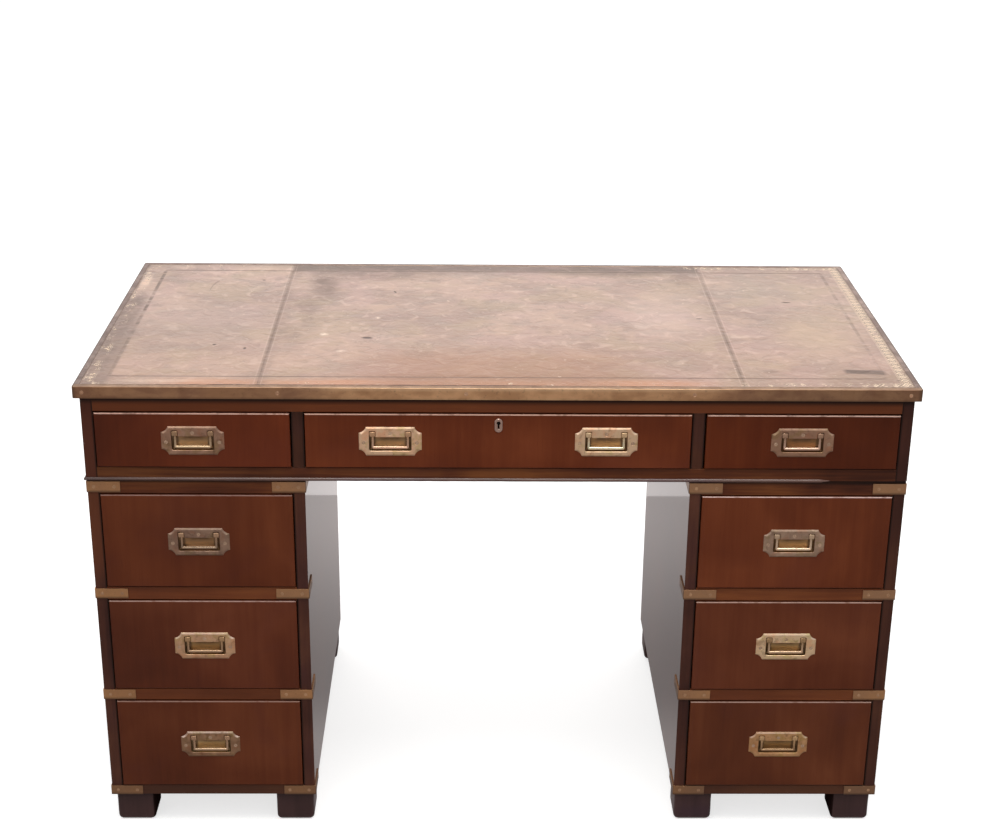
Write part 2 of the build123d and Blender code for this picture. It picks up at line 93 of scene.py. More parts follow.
class Graph:
    """A material's node tree, with the Principled shader as its one shader."""

    def __init__(self, name, **settings):
        self.mat = bpy.data.materials.new(name)
        self.mat.use_nodes = True
        self.tree = self.mat.node_tree
        self.tree.nodes.clear()
        out = self.tree.nodes.new("ShaderNodeOutputMaterial")
        self.shader = self.tree.nodes.new("ShaderNodeBsdfPrincipled")
        self.tree.links.new(self.shader.outputs[0], out.inputs[0])
        for key, value in settings.items():
            self.shader.inputs[key.replace("_", " ").replace("Level", "Level")].default_value = value
        datum = self.node("ShaderNodeMapping")
        datum.inputs["Location"].default_value = (0.0, 0.0, -LIFT)
        self.tree.links.new(self.node("ShaderNodeTexCoord").outputs["Object"], datum.inputs["Vector"])
        self.at = datum.outputs[0]
        self._xyz = None

    def node(self, kind, **props):
        made = self.tree.nodes.new(kind)
        for key, value in props.items():
            setattr(made, key, value)
        return made

    def put(self, socket, value):
        if isinstance(value, bpy.types.NodeSocket):
            self.tree.links.new(value, socket)
        elif hasattr(value, "__len__") and len(value) == 3 and socket.type == "RGBA":
            socket.default_value = (*value, 1.0)
        else:
            socket.default_value = value

    def set(self, name, value):
        self.put(self.shader.inputs[name], value)

    def math(self, op, a, b=None, c=None, clamp=False):
        made = self.node("ShaderNodeMath", operation=op, use_clamp=clamp)
        for socket, value in zip(made.inputs, (a, b, c)):
            if value is not None:
                self.put(socket, value)
        return made.outputs[0]

    def add(self, *terms):
        total = terms[0]
        for term in terms[1:]:
            total = self.math("ADD", total, term)
        return total

    def mul(self, *terms):
        total = terms[0]
        for term in terms[1:]:
            total = self.math("MULTIPLY", total, term)
        return total

    def inv(self, a):
        return self.math("SUBTRACT", 1.0, a)

    @property
    def xyz(self):
        if self._xyz is None:
            self._xyz = self.node("ShaderNodeSeparateXYZ")
            self.put(self._xyz.inputs[0], self.at)
        return self._xyz.outputs

    def stretch(self, scale, offset=(0, 0, 0), turn=(0, 0, 0), vector=None):
        made = self.node("ShaderNodeMapping")
        self.put(made.inputs["Vector"], self.at if vector is None else vector)
        made.inputs["Scale"].default_value = scale
        made.inputs["Location"].default_value = offset
        made.inputs["Rotation"].default_value = turn
        return made.outputs[0]

    def noise(self, vector, scale, detail=3.0, rough=0.5, distortion=0.0):
        made = self.node("ShaderNodeTexNoise", noise_dimensions="3D")
        self.put(made.inputs["Vector"], vector)
        made.inputs["Scale"].default_value = scale
        made.inputs["Detail"].default_value = detail
        made.inputs["Roughness"].default_value = rough
        made.inputs["Distortion"].default_value = distortion
        return made.outputs[0]

    def cells(self, vector, scale, feature="F1", smooth=None):
        made = self.node("ShaderNodeTexVoronoi", feature=feature)
        self.put(made.inputs["Vector"], vector)
        made.inputs["Scale"].default_value = scale
        return made.outputs["Distance"]

    def step(self, value, low, high, to_low=0.0, to_high=1.0):
        made = self.node("ShaderNodeMapRange", interpolation_type="SMOOTHSTEP")
        for socket, v in zip(made.inputs, (value, low, high, to_low, to_high)):
            self.put(socket, v)
        return made.outputs[0]

    def mix(self, factor, a, b, blend="MIX"):
        made = self.node("ShaderNodeMix", data_type="RGBA", blend_type=blend)
        self.put(made.inputs[0], factor)
        self.put(made.inputs[6], a)
        self.put(made.inputs[7], b)
        return made.outputs[2]

    def ramp(self, factor, stops):
        made = self.node("ShaderNodeValToRGB")
        self.put(made.inputs[0], factor)
        elements = made.color_ramp.elements
        while len(elements) < len(stops):
            elements.new(0.5)
        for element, (where, colour) in zip(elements, stops):
            element.position = where
            element.color = (*colour, 1.0)
        return made.outputs[0]

    def bump(self, height, strength, distance, normal=None):
        made = self.node("ShaderNodeBump")
        made.inputs["Strength"].default_value = strength
        made.inputs["Distance"].default_value = distance
        self.put(made.inputs["Height"], height)
        if normal is not None:
            self.put(made.inputs["Normal"], normal)
        return made.outputs[0]

    def rounded(self, radius, samples=4):
        """The normal as if every edge were rounded, and a mask of those edges."""
        bevel = self.node("ShaderNodeBevel", samples=samples)
        bevel.inputs["Radius"].default_value = radius
        true = self.node("ShaderNodeNewGeometry").outputs["Normal"]
        dot = self.node("ShaderNodeVectorMath", operation="DOT_PRODUCT")
        self.put(dot.inputs[0], bevel.outputs[0])
        self.put(dot.inputs[1], true)
        return bevel.outputs[0], self.inv(dot.outputs["Value"])

    def dab(self, x, y, rx, ry, turn=0.0, soft=0.5):
        """A soft spot in plan, 1 at its middle; lengths in metres."""
        c, s = math.cos(turn), math.sin(turn)
        dx = self.math("SUBTRACT", self.xyz[0], x)
        dy = self.math("SUBTRACT", self.xyz[1], y)
        u = self.add(self.mul(dx, c / rx), self.mul(dy, s / rx))
        v = self.add(self.mul(dx, -s / ry), self.mul(dy, c / ry))
        r = self.math("SQRT", self.add(self.mul(u, u), self.mul(v, v)))
        return self.step(r, 1.0, 1.0 - soft)


# ------------------------------------------------------------- wood materials
GRAIN = {"X": (0.045, 1.0, 1.0), "Y": (1.0, 0.045, 1.0), "Z": (1.0, 1.0, 0.045)}


def wood(
    name, axis, seed, deep, mid, light, gloss=0.3, specular=0.3, sidelong=None, figure=1.0, contrast=1.0, cloud=1.0,
    wear=0.5, worn=(0.30, 0.13, 0.07), face_y=None, top_highlight=(0.50, 0.34, 0.28), top_highlight_share=0.92, painted_shade_and_darkening=None, shade=None, shaded_matte=None,
    reach=(0.28, 0.62),
):
    """Polished mahogany with its grain along an axis. deep, mid and light are linear colours."""
    g = Graph(name)
    g.set("Coat Weight", 0.0)
    faces = g.node("ShaderNodeSeparateXYZ")
    g.put(faces.inputs[0], g.node("ShaderNodeTexCoord").outputs["Normal"])
    sideways = g.step(g.math("ABSOLUTE", faces.outputs[0]), 0.5, 0.8)
    sx, sy, sz = GRAIN[axis]
    base = g.stretch((sx, sy, sz), offset=(seed * 3.1, seed * 1.7, seed * 2.3))
    broad = g.noise(g.stretch((1, 1, 1), offset=(seed * 5.3, 1.0, seed)), 5.2, 3.0, 0.5, 0.6)
    bands = g.noise(base, 26.0 * figure, 5.0, 0.6, 1.6)
    fine = g.noise(base, 170.0, 4.0, 0.6, 0.4)
    thin = tuple(v * (0.6 if v < 1 else 1.0) for v in (sx, sy, sz))
    pores = g.noise(g.stretch(thin, offset=(seed, seed, seed)), 1100.0, 2.0, 0.5)

    def swing(value, amount):
        return g.mul(g.math("SUBTRACT", value, 0.5), amount)

    tone = g.add(0.5, swing(bands, 0.45 * contrast), swing(fine, 0.22 * contrast), swing(broad, 0.75 * cloud))
    colour = g.ramp(tone, ((0.32, deep), (0.5, mid), (0.68, light)))
    hue = g.noise(g.stretch((1, 1, 1), offset=(seed * 0.7, seed * 2.9, 4.0)), 7.5, 3.0, 0.55, 0.4)
    plum = (mid[0] * 0.80, mid[1] * 0.86, mid[2] * 1.5)
    colour = g.mix(g.mul(g.step(hue, 0.50, 0.72), 0.45 * cloud), colour, plum)
    pore = g.step(pores, 0.62, 0.74)
    colour = g.mix(g.mul(pore, 0.22), colour, tuple(c * 0.5 for c in deep))
    normal, edge = g.rounded(0.0011, 4)
    rubbed = g.noise(g.stretch((1, 1, 1), offset=(seed, 0, 2)), 60.0, 4.0, 0.65)
    edge_mask = g.mul(g.step(edge, 0.03, 0.25), g.step(rubbed, 0.42, 0.66), wear)
    colour = g.mix(edge_mask, colour, worn)
    if shade is not None:
        colour = shade(g, colour)
    # a painted highlight along the upward-facing top edge of a drawer front, broken up along its length
    if face_y is not None:
        upward = g.step(faces.outputs[2], reach[0], reach[1])
        front = g.step(g.xyz[1], face_y + 0.0024, face_y + 0.0016)
        highlight_break = g.step(g.noise(g.stretch((1, 1, 1), offset=(seed * 2, 0, 0)), 90.0, 3.0, 0.6), 0.30, 0.52, 0.5, 1.0)
        colour = g.mix(g.mul(upward, front, highlight_break, top_highlight_share), colour, top_highlight)
    # painted shade under the desk top's edge, under the bead and beside the drawer openings, and darker bands on the
    # rails
    if painted_shade_and_darkening is not None:
        colour = g.mix(painted_shade_and_darkening(g), colour, (0.010, 0.005, 0.003))
    g.set("Base Color", colour)
    smear = g.noise(g.stretch((1, 1, 1), offset=(0, seed, 0)), 11.0, 4.0, 0.6)
    rough = g.add(gloss - 0.07, g.mul(smear, 0.10), g.mul(fine, 0.05), g.mul(pore, 0.1))
    # masked sideways faces are painted dark as shade and lose their polish
    if shaded_matte is not None:
        dull = g.mul(shaded_matte(g), sideways)
        colour = g.mix(g.mul(dull, 0.7), colour, (0.006, 0.003, 0.0025))
        g.set("Base Color", colour)
        g.set("Specular IOR Level", g.mul(specular, g.inv(dull)))
        g.set("Roughness", g.add(rough, g.mul(dull, 0.4)))
        strength = 0.22
    elif sidelong is None:
        g.set("Specular IOR Level", specular)
        g.set("Roughness", rough)
        strength = 0.22
    else:
        g.set("Specular IOR Level", g.add(specular, g.mul(sideways, sidelong[0] - specular)))
        polished = g.add(sidelong[1], g.mul(smear, 0.03))
        g.set("Roughness", g.add(g.mul(rough, g.inv(sideways)), g.mul(polished, sideways)))
        strength = 0.10
    relief = g.add(g.mul(pore, -0.6), g.mul(fine, 0.25), g.mul(g.noise(g.at, 14.0, 2.0, 0.5), 0.35))
    g.set("Normal", g.bump(relief, strength, 0.00025, normal))
    return g.mat


def oak(name, seed):
    g = Graph(name)
    g.set("Specular IOR Level", 0.3)
    grain = g.stretch((1.0, 0.05, 1.0), offset=(seed, seed, 0))
    bands = g.noise(grain, 60.0, 5.0, 0.6, 1.0)
    fine = g.noise(grain, 420.0, 3.0, 0.6)
    age = g.noise(g.at, 5.0, 4.0, 0.6)
    tone = g.add(g.mul(bands, 0.5), g.mul(fine, 0.3), g.mul(age, 0.25))
    colour = g.ramp(tone, ((0.32, (0.16, 0.085, 0.036)), (0.52, (0.33, 0.19, 0.088)), (0.75, (0.46, 0.29, 0.15))))
    normal, edge = g.rounded(0.0008, 4)
    colour = g.mix(g.mul(g.step(edge, 0.05, 0.3), 0.4), colour, (0.17, 0.09, 0.045))
    g.set("Base Color", colour)
    g.set("Roughness", g.add(0.52, g.mul(fine, 0.2)))
    g.set("Normal", g.bump(g.add(g.mul(fine, 0.7), g.mul(bands, 0.3)), 0.35, 0.0003, normal))
    return g.mat


# ------------------------------------------------------------ metal materials
def brass(
    name, seed, dull, bright, share=0.5, rough=0.34, brushed=None, edge_light=0.8, edge_colour=(0.85, 0.62, 0.44), metal_low=0.75,
    radius=0.0006, specks=0.4, relief=0.25, blotch=42.0, soft=0.12, grime_and_shade=None, rim=None, paint=None,
):
    """Old brass: dull where tarnished, bright where rubbed. share is how much of it is bright. With rim, downward faces
    are painted darker as shade and the marked upward rims paler, partly rubbed and partly a painted highlight; marked
    hollows darken, partly soiling and partly painted shade.
    """
    g = Graph(name)
    cloud = g.noise(g.stretch((1, 1, 1), offset=(seed, seed * 0.7, 0)), blotch, 5.0, 0.6, 0.4)
    broad = g.noise(g.stretch((1, 1, 1), offset=(seed * 1.9, 0, 3)), 7.0, 3.0, 0.5)
    spots = g.noise(g.stretch((1, 1, 1), offset=(0, seed, 9)), 420.0, 3.0, 0.6)
    middle = 0.62 - 0.25 * share
    clean = g.step(g.add(g.mul(cloud, 0.55), g.mul(broad, 0.45)), middle - soft, middle + soft)
    colour = g.mix(clean, dull, bright)
    speck = g.step(spots, 0.60, 0.72)
    colour = g.mix(g.mul(speck, specks), colour, tuple(c * 0.45 for c in dull))
    normal, edge = g.rounded(radius, 4)
    colour = g.mix(g.mul(g.step(edge, 0.02, 0.2), edge_light), colour, edge_colour)
    metallic = g.add(metal_low, g.mul(clean, 1.0 - metal_low))
    if rim is not None:
        lean = g.node("ShaderNodeSeparateXYZ")
        g.put(lean.inputs[0], g.node("ShaderNodeTexCoord").outputs["Normal"])
        # downward faces away from the edges are painted darker as shade
        under = g.mul(g.step(lean.outputs[2], -0.20, -0.55), g.inv(edge))
        colour = g.mix(g.mul(under, 0.55), colour, tuple(c * 0.35 for c in dull))
        # the marked upward rims are painted pale: partly rubbed, partly a painted highlight
        worn = g.mul(g.node("ShaderNodeAttribute", attribute_name="rim").outputs["Fac"], g.step(lean.outputs[2], 0.06, 0.34))
        broken = g.step(g.noise(g.stretch((1, 1, 1), offset=(seed, 2, 2)), 150.0, 3.0, 0.6), 0.30, 0.55, 0.55, 1.0)
        colour = g.mix(g.mul(worn, broken, rim[1]), colour, rim[0])
    # marked hollows are painted darker: partly soiling, partly painted shade
    if grime_and_shade is not None:
        dark = g.node("ShaderNodeAttribute", attribute_name="grime_and_shade").outputs["Fac"]
        patch = g.step(g.noise(g.stretch((1, 1, 1), offset=(seed, 5, 0)), 210.0, 3.0, 0.6), 0.25, 0.6, 0.8, 1.0)
        grime_and_shade_mix = g.mul(dark, patch)
        colour = g.mix(grime_and_shade_mix, colour, grime_and_shade)
        metallic = g.mul(metallic, g.add(1.0, g.mul(grime_and_shade_mix, -0.5)))
    if paint is not None:
        colour = paint(g, colour, clean)
    g.set("Base Color", colour)
    g.set("Metallic", metallic)
    scale = brushed or (1.0, 1.0, 1.0)
    lines = g.noise(g.stretch(scale, offset=(seed, 0, 0)), 900.0, 3.0, 0.6)
    g.set("Roughness", g.add(rough, g.mul(lines, 0.10), g.mul(speck, 0.3 * specks), g.mul(clean, -0.06)))
    g.set("Normal", g.bump(g.add(g.mul(lines, 0.4), g.mul(cloud, 0.6), g.mul(speck, -0.4)), relief, 0.00012, normal))
    return g.mat


def iron(name):
    g = Graph(name)
    cloud = g.noise(g.at, 90.0, 5.0, 0.6)
    g.set("Base Color", g.ramp(cloud, ((0.35, (0.05, 0.045, 0.04)), (0.6, (0.13, 0.12, 0.11)), (0.75, (0.16, 0.10, 0.06)))))
    g.set("Metallic", g.step(cloud, 0.75, 0.45, 0.4, 0.95))
    g.set("Roughness", g.add(0.38, g.mul(cloud, 0.25)))
    normal, _ = g.rounded(0.0005, 4)
    g.set("Normal", g.bump(cloud, 0.3, 0.0002, normal))
    return g.mat


# ----------------------------------------------------------- leather and gold
LEATHER_X, LEATHER_Y = 0.6008, 0.2958
SEAMS = (-0.3474, 0.3549)
LINE_D = 0.0355          # the blind line runs this far in from the leather's edge
GOLD_IN, GOLD_OUT = 0.0150, 0.0030


def leather_material():
    g = Graph("desk_leather")
    g.set("Specular IOR Level", 0.42)
    g.set("Sheen Weight", 0.06)
    g.set("Sheen Roughness", 0.45)
    g.set("Sheen Tint", (1.0, 0.93, 0.92, 1.0))
    x, y = g.xyz[0], g.xyz[1]
    ax, ay = g.math("ABSOLUTE", x), g.math("ABSOLUTE", y)
    dx, dy = g.math("SUBTRACT", LEATHER_X, ax), g.math("SUBTRACT", LEATHER_Y, ay)
    d = g.math("MINIMUM", dx, dy)

    def lay(factor, tone):
        nonlocal colour
        colour = g.mix(factor, colour, tone)

    def most(*masks):
        top = masks[0]
        for one in masks[1:]:
            top = g.math("MAXIMUM", top, one)
        return top

    # the hide's own colour: worn pinkish tan, mottled with mauve-grey, straw and rose
    clouds = g.noise(g.stretch((1.0, 1.3, 1.0)), 5.2, 4.0, 0.6, 0.8)
    patches = g.noise(g.stretch((1.0, 1.2, 1.0), offset=(3, 7, 0)), 15.0, 2.0, 0.55, 0.6)
    rose = g.noise(g.stretch((1.0, 1.3, 1.0), offset=(6, 2, 0)), 9.0, 1.5, 0.5, 0.6)
    crease = g.noise(g.stretch((1.0, 1.10, 1.0), offset=(1, 2, 0)), 46.0, 2.5, 0.5, 0.7)
    wrinkle = g.math("ABSOLUTE", g.math("SUBTRACT", g.noise(g.stretch((1.0, 1.0, 1.0), offset=(5, 1, 0), turn=(0, 0, 0.15)), 27.0, 2.5, 0.5, 0.9), 0.5))
    grainy = g.noise(g.stretch((1.0, 1.0, 1.0), offset=(2, 8, 0)), 105.0, 3.0, 0.6, 0.4)
    colour = g.mix(g.step(clouds, 0.36, 0.64), (0.410, 0.284, 0.236), (0.540, 0.376, 0.308))
    lay(g.mul(g.step(patches, 0.50, 0.66), 0.50), (0.400, 0.306, 0.258))
    lay(g.mul(g.step(patches, 0.47, 0.32), 0.50), (0.590, 0.412, 0.318))
    lay(g.mul(g.step(rose, 0.52, 0.66), 0.50), (0.520, 0.345, 0.310))
    lay(g.mul(g.step(rose, 0.47, 0.33), 0.50), (0.480, 0.355, 0.252))
    lay(g.mul(g.step(crease, 0.46, 0.30), 0.36), (0.290, 0.204, 0.168))
    lay(g.mul(g.step(crease, 0.55, 0.70), 0.38), (0.760, 0.575, 0.490))
    lay(g.mul(g.step(wrinkle, 0.022, 0.002), g.step(patches, 0.44, 0.60), 0.24), (0.240, 0.164, 0.134))
    lay(g.mul(g.step(grainy, 0.54, 0.70), 0.11), (0.240, 0.168, 0.140))
    lay(g.mul(g.step(grainy, 0.44, 0.28), 0.10), (0.760, 0.580, 0.490))

    # darker and browner towards the front, most at the sitter's place
    lay(g.mul(g.step(y, 0.05, -0.30), 0.26), (0.440, 0.250, 0.165))
    lay(g.mul(g.step(y, -0.17, -0.27), g.step(x, 0.40, 0.56), 0.38), (0.300, 0.205, 0.150))
    # at the sitter's place the warm brown is partly the hide's wear and partly a painted dark reflection, where the
    # sheen of the room is blocked
    warm = g.mul(g.step(y, -0.10, -0.20), g.step(ax, 0.26, 0.12))
    lay(g.mul(warm, g.step(clouds, 0.30, 0.55, 0.8, 1.0), 0.54), (0.380, 0.192, 0.112))
    lay(g.mul(g.step(y, -0.235, -0.262), g.step(ax, 0.30, 0.16), 0.34), (0.330, 0.165, 0.098))
    # straw-coloured field on the right, greyer one on the left
    lay(g.mul(g.dab(0.50, -0.06, 0.10, 0.16, 0.0, 0.9), 0.42), (0.560, 0.410, 0.275))
    lay(g.mul(g.dab(0.44, 0.16, 0.14, 0.14, 0.0, 0.9), 0.32), (0.460, 0.370, 0.295))
    lay(g.mul(g.dab(-0.46, -0.02, 0.16, 0.16, 0.3, 0.9), 0.36), (0.410, 0.312, 0.258))
    lay(g.mul(g.dab(0.27, 0.03, 0.11, 0.19, 0.0, 0.9), 0.34), (0.720, 0.530, 0.455))

    # orange where the finish has gone along the front
    streak = g.noise(g.stretch((1.0, 3.0, 1.0), offset=(2, 4, 0)), 20.0, 4.0, 0.6, 0.5)
    front = g.step(y, -0.2555, -0.288)
    strip = g.add(
        g.dab(-0.410, -0.282, 0.130, 0.036, 0.0, 0.8),
        g.dab(-0.250, -0.282, 0.110, 0.032, 0.0, 0.8),
        g.dab(0.225, -0.280, 0.120, 0.034, 0.0, 0.8),
        g.mul(g.dab(-0.02, -0.286, 0.32, 0.028, 0.0, 0.8), 0.50),
    )
    lay(g.math("MINIMUM", g.mul(front, strip, g.step(streak, 0.26, 0.52, 0.35, 1.0), 0.80), 0.72), (0.600, 0.290, 0.170))
    # rubbed, pale patches in the borders
    pale = most(
        g.mul(g.dab(-0.590, 0.192, 0.013, 0.055, 0.0, 0.8), 0.95),
        g.mul(g.dab(-0.535, 0.280, 0.040, 0.016, 0.0, 0.8), 0.30),
        g.mul(g.dab(-0.400, 0.279, 0.050, 0.016, 0.0, 0.8), 0.30),
        g.mul(g.dab(-0.583, 0.045, 0.009, 0.030, 0.0, 0.8), 0.55),
        g.mul(g.dab(-0.490, -0.279, 0.09, 0.010, 0.0, 0.8), 0.50),
    )
    lay(g.mul(pale, g.step(streak, 0.26, 0.52, 0.25, 1.0)), (0.780, 0.560, 0.430))

    # dark stains: back border between the seams, a cloud behind the left seam, the left border
    stain = g.noise(g.stretch((1.0, 1.3, 1.0), offset=(8, 3, 0)), 19.0, 5.0, 0.66, 1.0)
    mottle = g.noise(g.stretch((1.0, 1.2, 1.0), offset=(9, 1, 0)), 48.0, 4.0, 0.66, 0.8)
    between = g.mul(g.step(x, SEAMS[0], SEAMS[0] + 0.004), g.step(x, SEAMS[1], SEAMS[1] - 0.004))
    dark = most(
        g.mul(g.step(y, 0.252, 0.272), between, g.step(ax, 0.02, 0.12, 0.80, 1.0), 1.0),
        g.mul(g.dab(-0.287, 0.185, 0.036, 0.135, 0.10, 0.9), g.step(mottle, 0.34, 0.60, 0.55, 1.0), 0.92),
        g.mul(g.dab(-0.306, 0.050, 0.046, 0.110, 0.18, 0.95), g.step(mottle, 0.34, 0.60, 0.55, 1.0), 0.60),
        g.mul(g.dab(-0.190, 0.245, 0.15, 0.060, 0.0, 0.9), 0.72),
        g.mul(g.dab(0.325, 0.225, 0.045, 0.060, 0.0, 0.9), 0.62),
        g.mul(g.dab(0.20, 0.258, 0.17, 0.036, 0.0, 0.8), 0.78),
        g.mul(g.dab(-0.325, -0.06, 0.050, 0.14, 0.15, 0.95), 0.40),
        g.mul(g.dab(0.345, -0.10, 0.020, 0.22, 0.0, 0.95), 0.12),
        g.mul(g.step(dx, 0.034, 0.020), g.step(x, -0.4, -0.5), g.step(y, 0.17, 0.08), g.step(mottle, 0.36, 0.58, 0.45, 1.0)),
        g.mul(g.step(dx, 0.046, 0.030), g.step(x, -0.4, -0.5), g.step(y, 0.05, -0.10), 0.50),
        g.mul(g.step(dx, 0.0060, 0.0025), g.step(x, 0.4, 0.5), 0.80),
        g.mul(g.step(dx, 0.0060, 0.0025), g.step(x, -0.4, -0.5), 0.85),
        g.mul(g.step(dy, 0.0060, 0.001), g.step(y, 0.0, 0.1), 0.85),
    )
    lay(g.mul(dark, g.step(stain, 0.34, 0.56, 0.42, 1.0), 0.76), (0.205, 0.150, 0.124))
    lay(g.mul(g.step(dx, 0.030, 0.018), g.step(x, -0.4, -0.5), g.step(mottle, 0.52, 0.66), 0.50), (0.480, 0.370, 0.320))

    # the back border is greyer between the seams, the left one mauve towards the front
    lay(g.mul(g.step(y, 0.225, 0.275), between, 0.40), (0.190, 0.152, 0.138))
    lay(g.mul(g.step(dy, 0.032, 0.004), g.step(y, 0.0, 0.1), g.inv(between), 0.20), (0.250, 0.196, 0.172))
    lay(g.mul(g.step(dx, 0.042, 0.028), g.step(x, -0.4, -0.5), g.step(y, 0.18, 0.06), 0.36), (0.225, 0.166, 0.146))
    # seams: a narrow open joint, with a darker strip on the middle hide's side and a painted highlight along both edges
    # of the joint
    inside = g.step(d, LINE_D - 0.0008, LINE_D + 0.0004)
    for at, lean in ((SEAMS[0], 1.0), (SEAMS[1], -1.0)):
        side = g.mul(g.math("SUBTRACT", x, at), lean)
        off = g.math("ABSOLUTE", side)
        side_strip = g.mul(g.step(side, 0.022, 0.003), g.step(side, -0.0005, 0.0005), g.step(stain, 0.34, 0.6, 0.30, 1.0))
        lay(g.mul(side_strip, 0.40 if lean > 0 else 0.14), (0.230, 0.160, 0.130))
        fade = g.step(y, 0.24, -0.22, 0.52 if lean < 0 else 0.80, 1.0)
        band = g.mul(g.step(off, 0.0052, 0.0020), g.step(mottle, 0.30, 0.60, 0.55, 1.0), g.add(0.42, g.mul(inside, 0.58)), fade)
        lay(g.mul(band, 0.58), (0.205, 0.134, 0.102))
        lay(g.mul(g.step(off, 0.0011, 0.0005), g.step(mottle, 0.34, 0.58, 0.1, 1.0), fade, 0.30), (0.110, 0.066, 0.048))
        # a painted highlight along both edges of the joint
        rim = g.mul(g.math("SUBTRACT", g.step(off, 0.0064, 0.0052), g.step(off, 0.0050, 0.0040)), g.step(stain, 0.4, 0.6, 0.3, 1.0))
        lay(g.mul(rim, 0.30), (0.760, 0.580, 0.470))
    # the blind line round the field: narrow along front and back, broader and broken at the sides
    off = g.math("ABSOLUTE", g.math("SUBTRACT", d, LINE_D))
    sidewise = g.math("LESS_THAN", dx, dy)
    dots = g.noise(g.stretch((0.2, 1.0, 1.0), offset=(7, 7, 0)), 75.0, 3.0, 0.65)
    ring = g.mul(g.step(off, 0.0024, 0.0008), g.inv(sidewise), g.step(mottle, 0.26, 0.50, 0.45, 1.0))
    lay(g.mul(ring, g.step(y, 0.0, 0.1, 0.72, 0.78)), (0.150, 0.098, 0.078))
    ring = g.mul(g.step(off, 0.0040, 0.0014), sidewise, g.step(dots, 0.42, 0.58, 0.14, 1.0), g.step(y, -0.19, 0.02, 0.50, 1.0))
    lay(g.mul(ring, g.step(x, 0.0, -0.2, 0.42, 0.80)), (0.150, 0.100, 0.078))

    # scuffs, a worn arc and a few cuts
    smudge = g.mul(g.step(g.math("ABSOLUTE", g.math("SUBTRACT", x, 0.5405)), 0.034, 0.024), g.step(g.math("ABSOLUTE", g.add(y, g.mul(g.math("SUBTRACT", x, 0.54), 0.08), 0.2315)), 0.0110, 0.0060))
    lay(g.mul(smudge, g.step(mottle, 0.30, 0.55, 0.65, 1.0), 0.80), (0.112, 0.078, 0.062))
    au, av = g.math("DIVIDE", g.add(x, 0.4650), 0.0100), g.math("DIVIDE", g.add(y, -0.150), 0.048)
    radius = g.math("SQRT", g.add(g.mul(au, au), g.mul(av, av)))
    arc = g.mul(g.step(g.math("ABSOLUTE", g.math("SUBTRACT", radius, 1.0)), 0.17, 0.04), g.step(au, 0.10, -0.30), g.step(av, -0.30, 0.10))
    lay(g.mul(arc, g.step(mottle, 0.30, 0.52, 0.3, 1.0), 0.50), (0.200, 0.140, 0.118))
    cuts = g.dab(0.5925, -0.2655, 0.017, 0.0026, 0.12, 0.5)
    for x0, y0, rx, ry, turn in (
        (0.3246, 0.0106, 0.007, 0.0034, 0.0),
        (0.4787, 0.0972, 0.010, 0.0034, 0.05),
        (-0.2003, -0.0882, 0.0115, 0.0062, -0.1),
        (-0.4311, -0.1230, 0.004, 0.004, 0.0),
        (-0.3830, -0.1390, 0.003, 0.006, 0.0),
        (-0.3913, 0.2063, 0.004, 0.0035, 0.0),
        (-0.1666, 0.1437, 0.0025, 0.008, 0.3),
    ):
        cuts = g.math("MAXIMUM", cuts, g.dab(x0, y0, rx, ry, turn, 0.6))
    lay(g.mul(cuts, 0.86), (0.085, 0.056, 0.045))
    lay(g.mul(g.dab(0.4010, -0.2300, 0.022, 0.0110, 0.05, 0.9), g.step(mottle, 0.34, 0.55, 0.4, 1.0), 0.50), (0.210, 0.140, 0.098))
    chips = most(
        g.mul(g.step(g.noise(g.stretch((1.0, 1.6, 1.0), offset=(9, 9, 0)), 95.0, 3.0, 0.6), 0.66, 0.74), g.step(patches, 0.44, 0.56), 0.75),
        g.mul(g.dab(-0.190, 0.0080, 0.008, 0.008, 0.0, 0.9), g.step(grainy, 0.40, 0.56, 0.2, 1.0)),
        g.mul(g.dab(-0.268, -0.072, 0.009, 0.012, 0.3, 0.9), g.step(grainy, 0.40, 0.56, 0.2, 1.0)),
        g.mul(g.dab(-0.238, -0.150, 0.014, 0.008, 0.4, 0.9), g.step(grainy, 0.40, 0.56, 0.1, 0.7)),
    )
    lay(g.mul(chips, 0.80), (0.900, 0.730, 0.600))

    # gold tooling between two fine lines: lozenges, dots and leaves, more worn on the left
    along = g.add(g.mul(sidewise, y), g.mul(g.inv(sidewise), x))
    pitch = 0.0150
    t = g.mul(g.math("SUBTRACT", g.math("FRACT", g.math("ADD", g.math("DIVIDE", along, pitch), 100.25)), 0.5), 2.0)
    ta = g.math("ABSOLUTE", t)
    v = g.math("DIVIDE", g.math("SUBTRACT", d, (GOLD_IN + GOLD_OUT) / 2), (GOLD_IN - GOLD_OUT) / 2)
    va = g.math("ABSOLUTE", v)
    lozenge = g.math("ABSOLUTE", g.math("SUBTRACT", g.add(ta, g.mul(va, 0.80)), 0.66))
    motif = g.step(lozenge, 0.27, 0.15)
    dot = g.step(g.math("SQRT", g.add(g.mul(t, t), g.mul(v, v, 1.1))), 0.30, 0.20)
    from_tip = g.math("SUBTRACT", 1.0, ta)
    from_mid = g.math("SUBTRACT", va, 0.52)
    leaf = g.step(g.math("SQRT", g.add(g.mul(from_tip, from_tip, 2.2), g.mul(from_mid, from_mid, 5.0))), 0.42, 0.30)
    lines = g.add(g.step(g.math("ABSOLUTE", g.math("SUBTRACT", va, 1.0)), 0.12, 0.05), g.step(g.math("ABSOLUTE", g.math("SUBTRACT", va, 1.38)), 0.07, 0.03))
    motif = g.mul(most(motif, dot, leaf), g.step(va, 1.0, 0.92))
    stamped = g.math("MINIMUM", g.math("MAXIMUM", motif, g.mul(lines, 0.7)), 1.0)
    keep = g.noise(g.stretch((1.0, 0.6, 1.0), offset=(4, 4, 0)), 66.0, 3.0, 0.70)
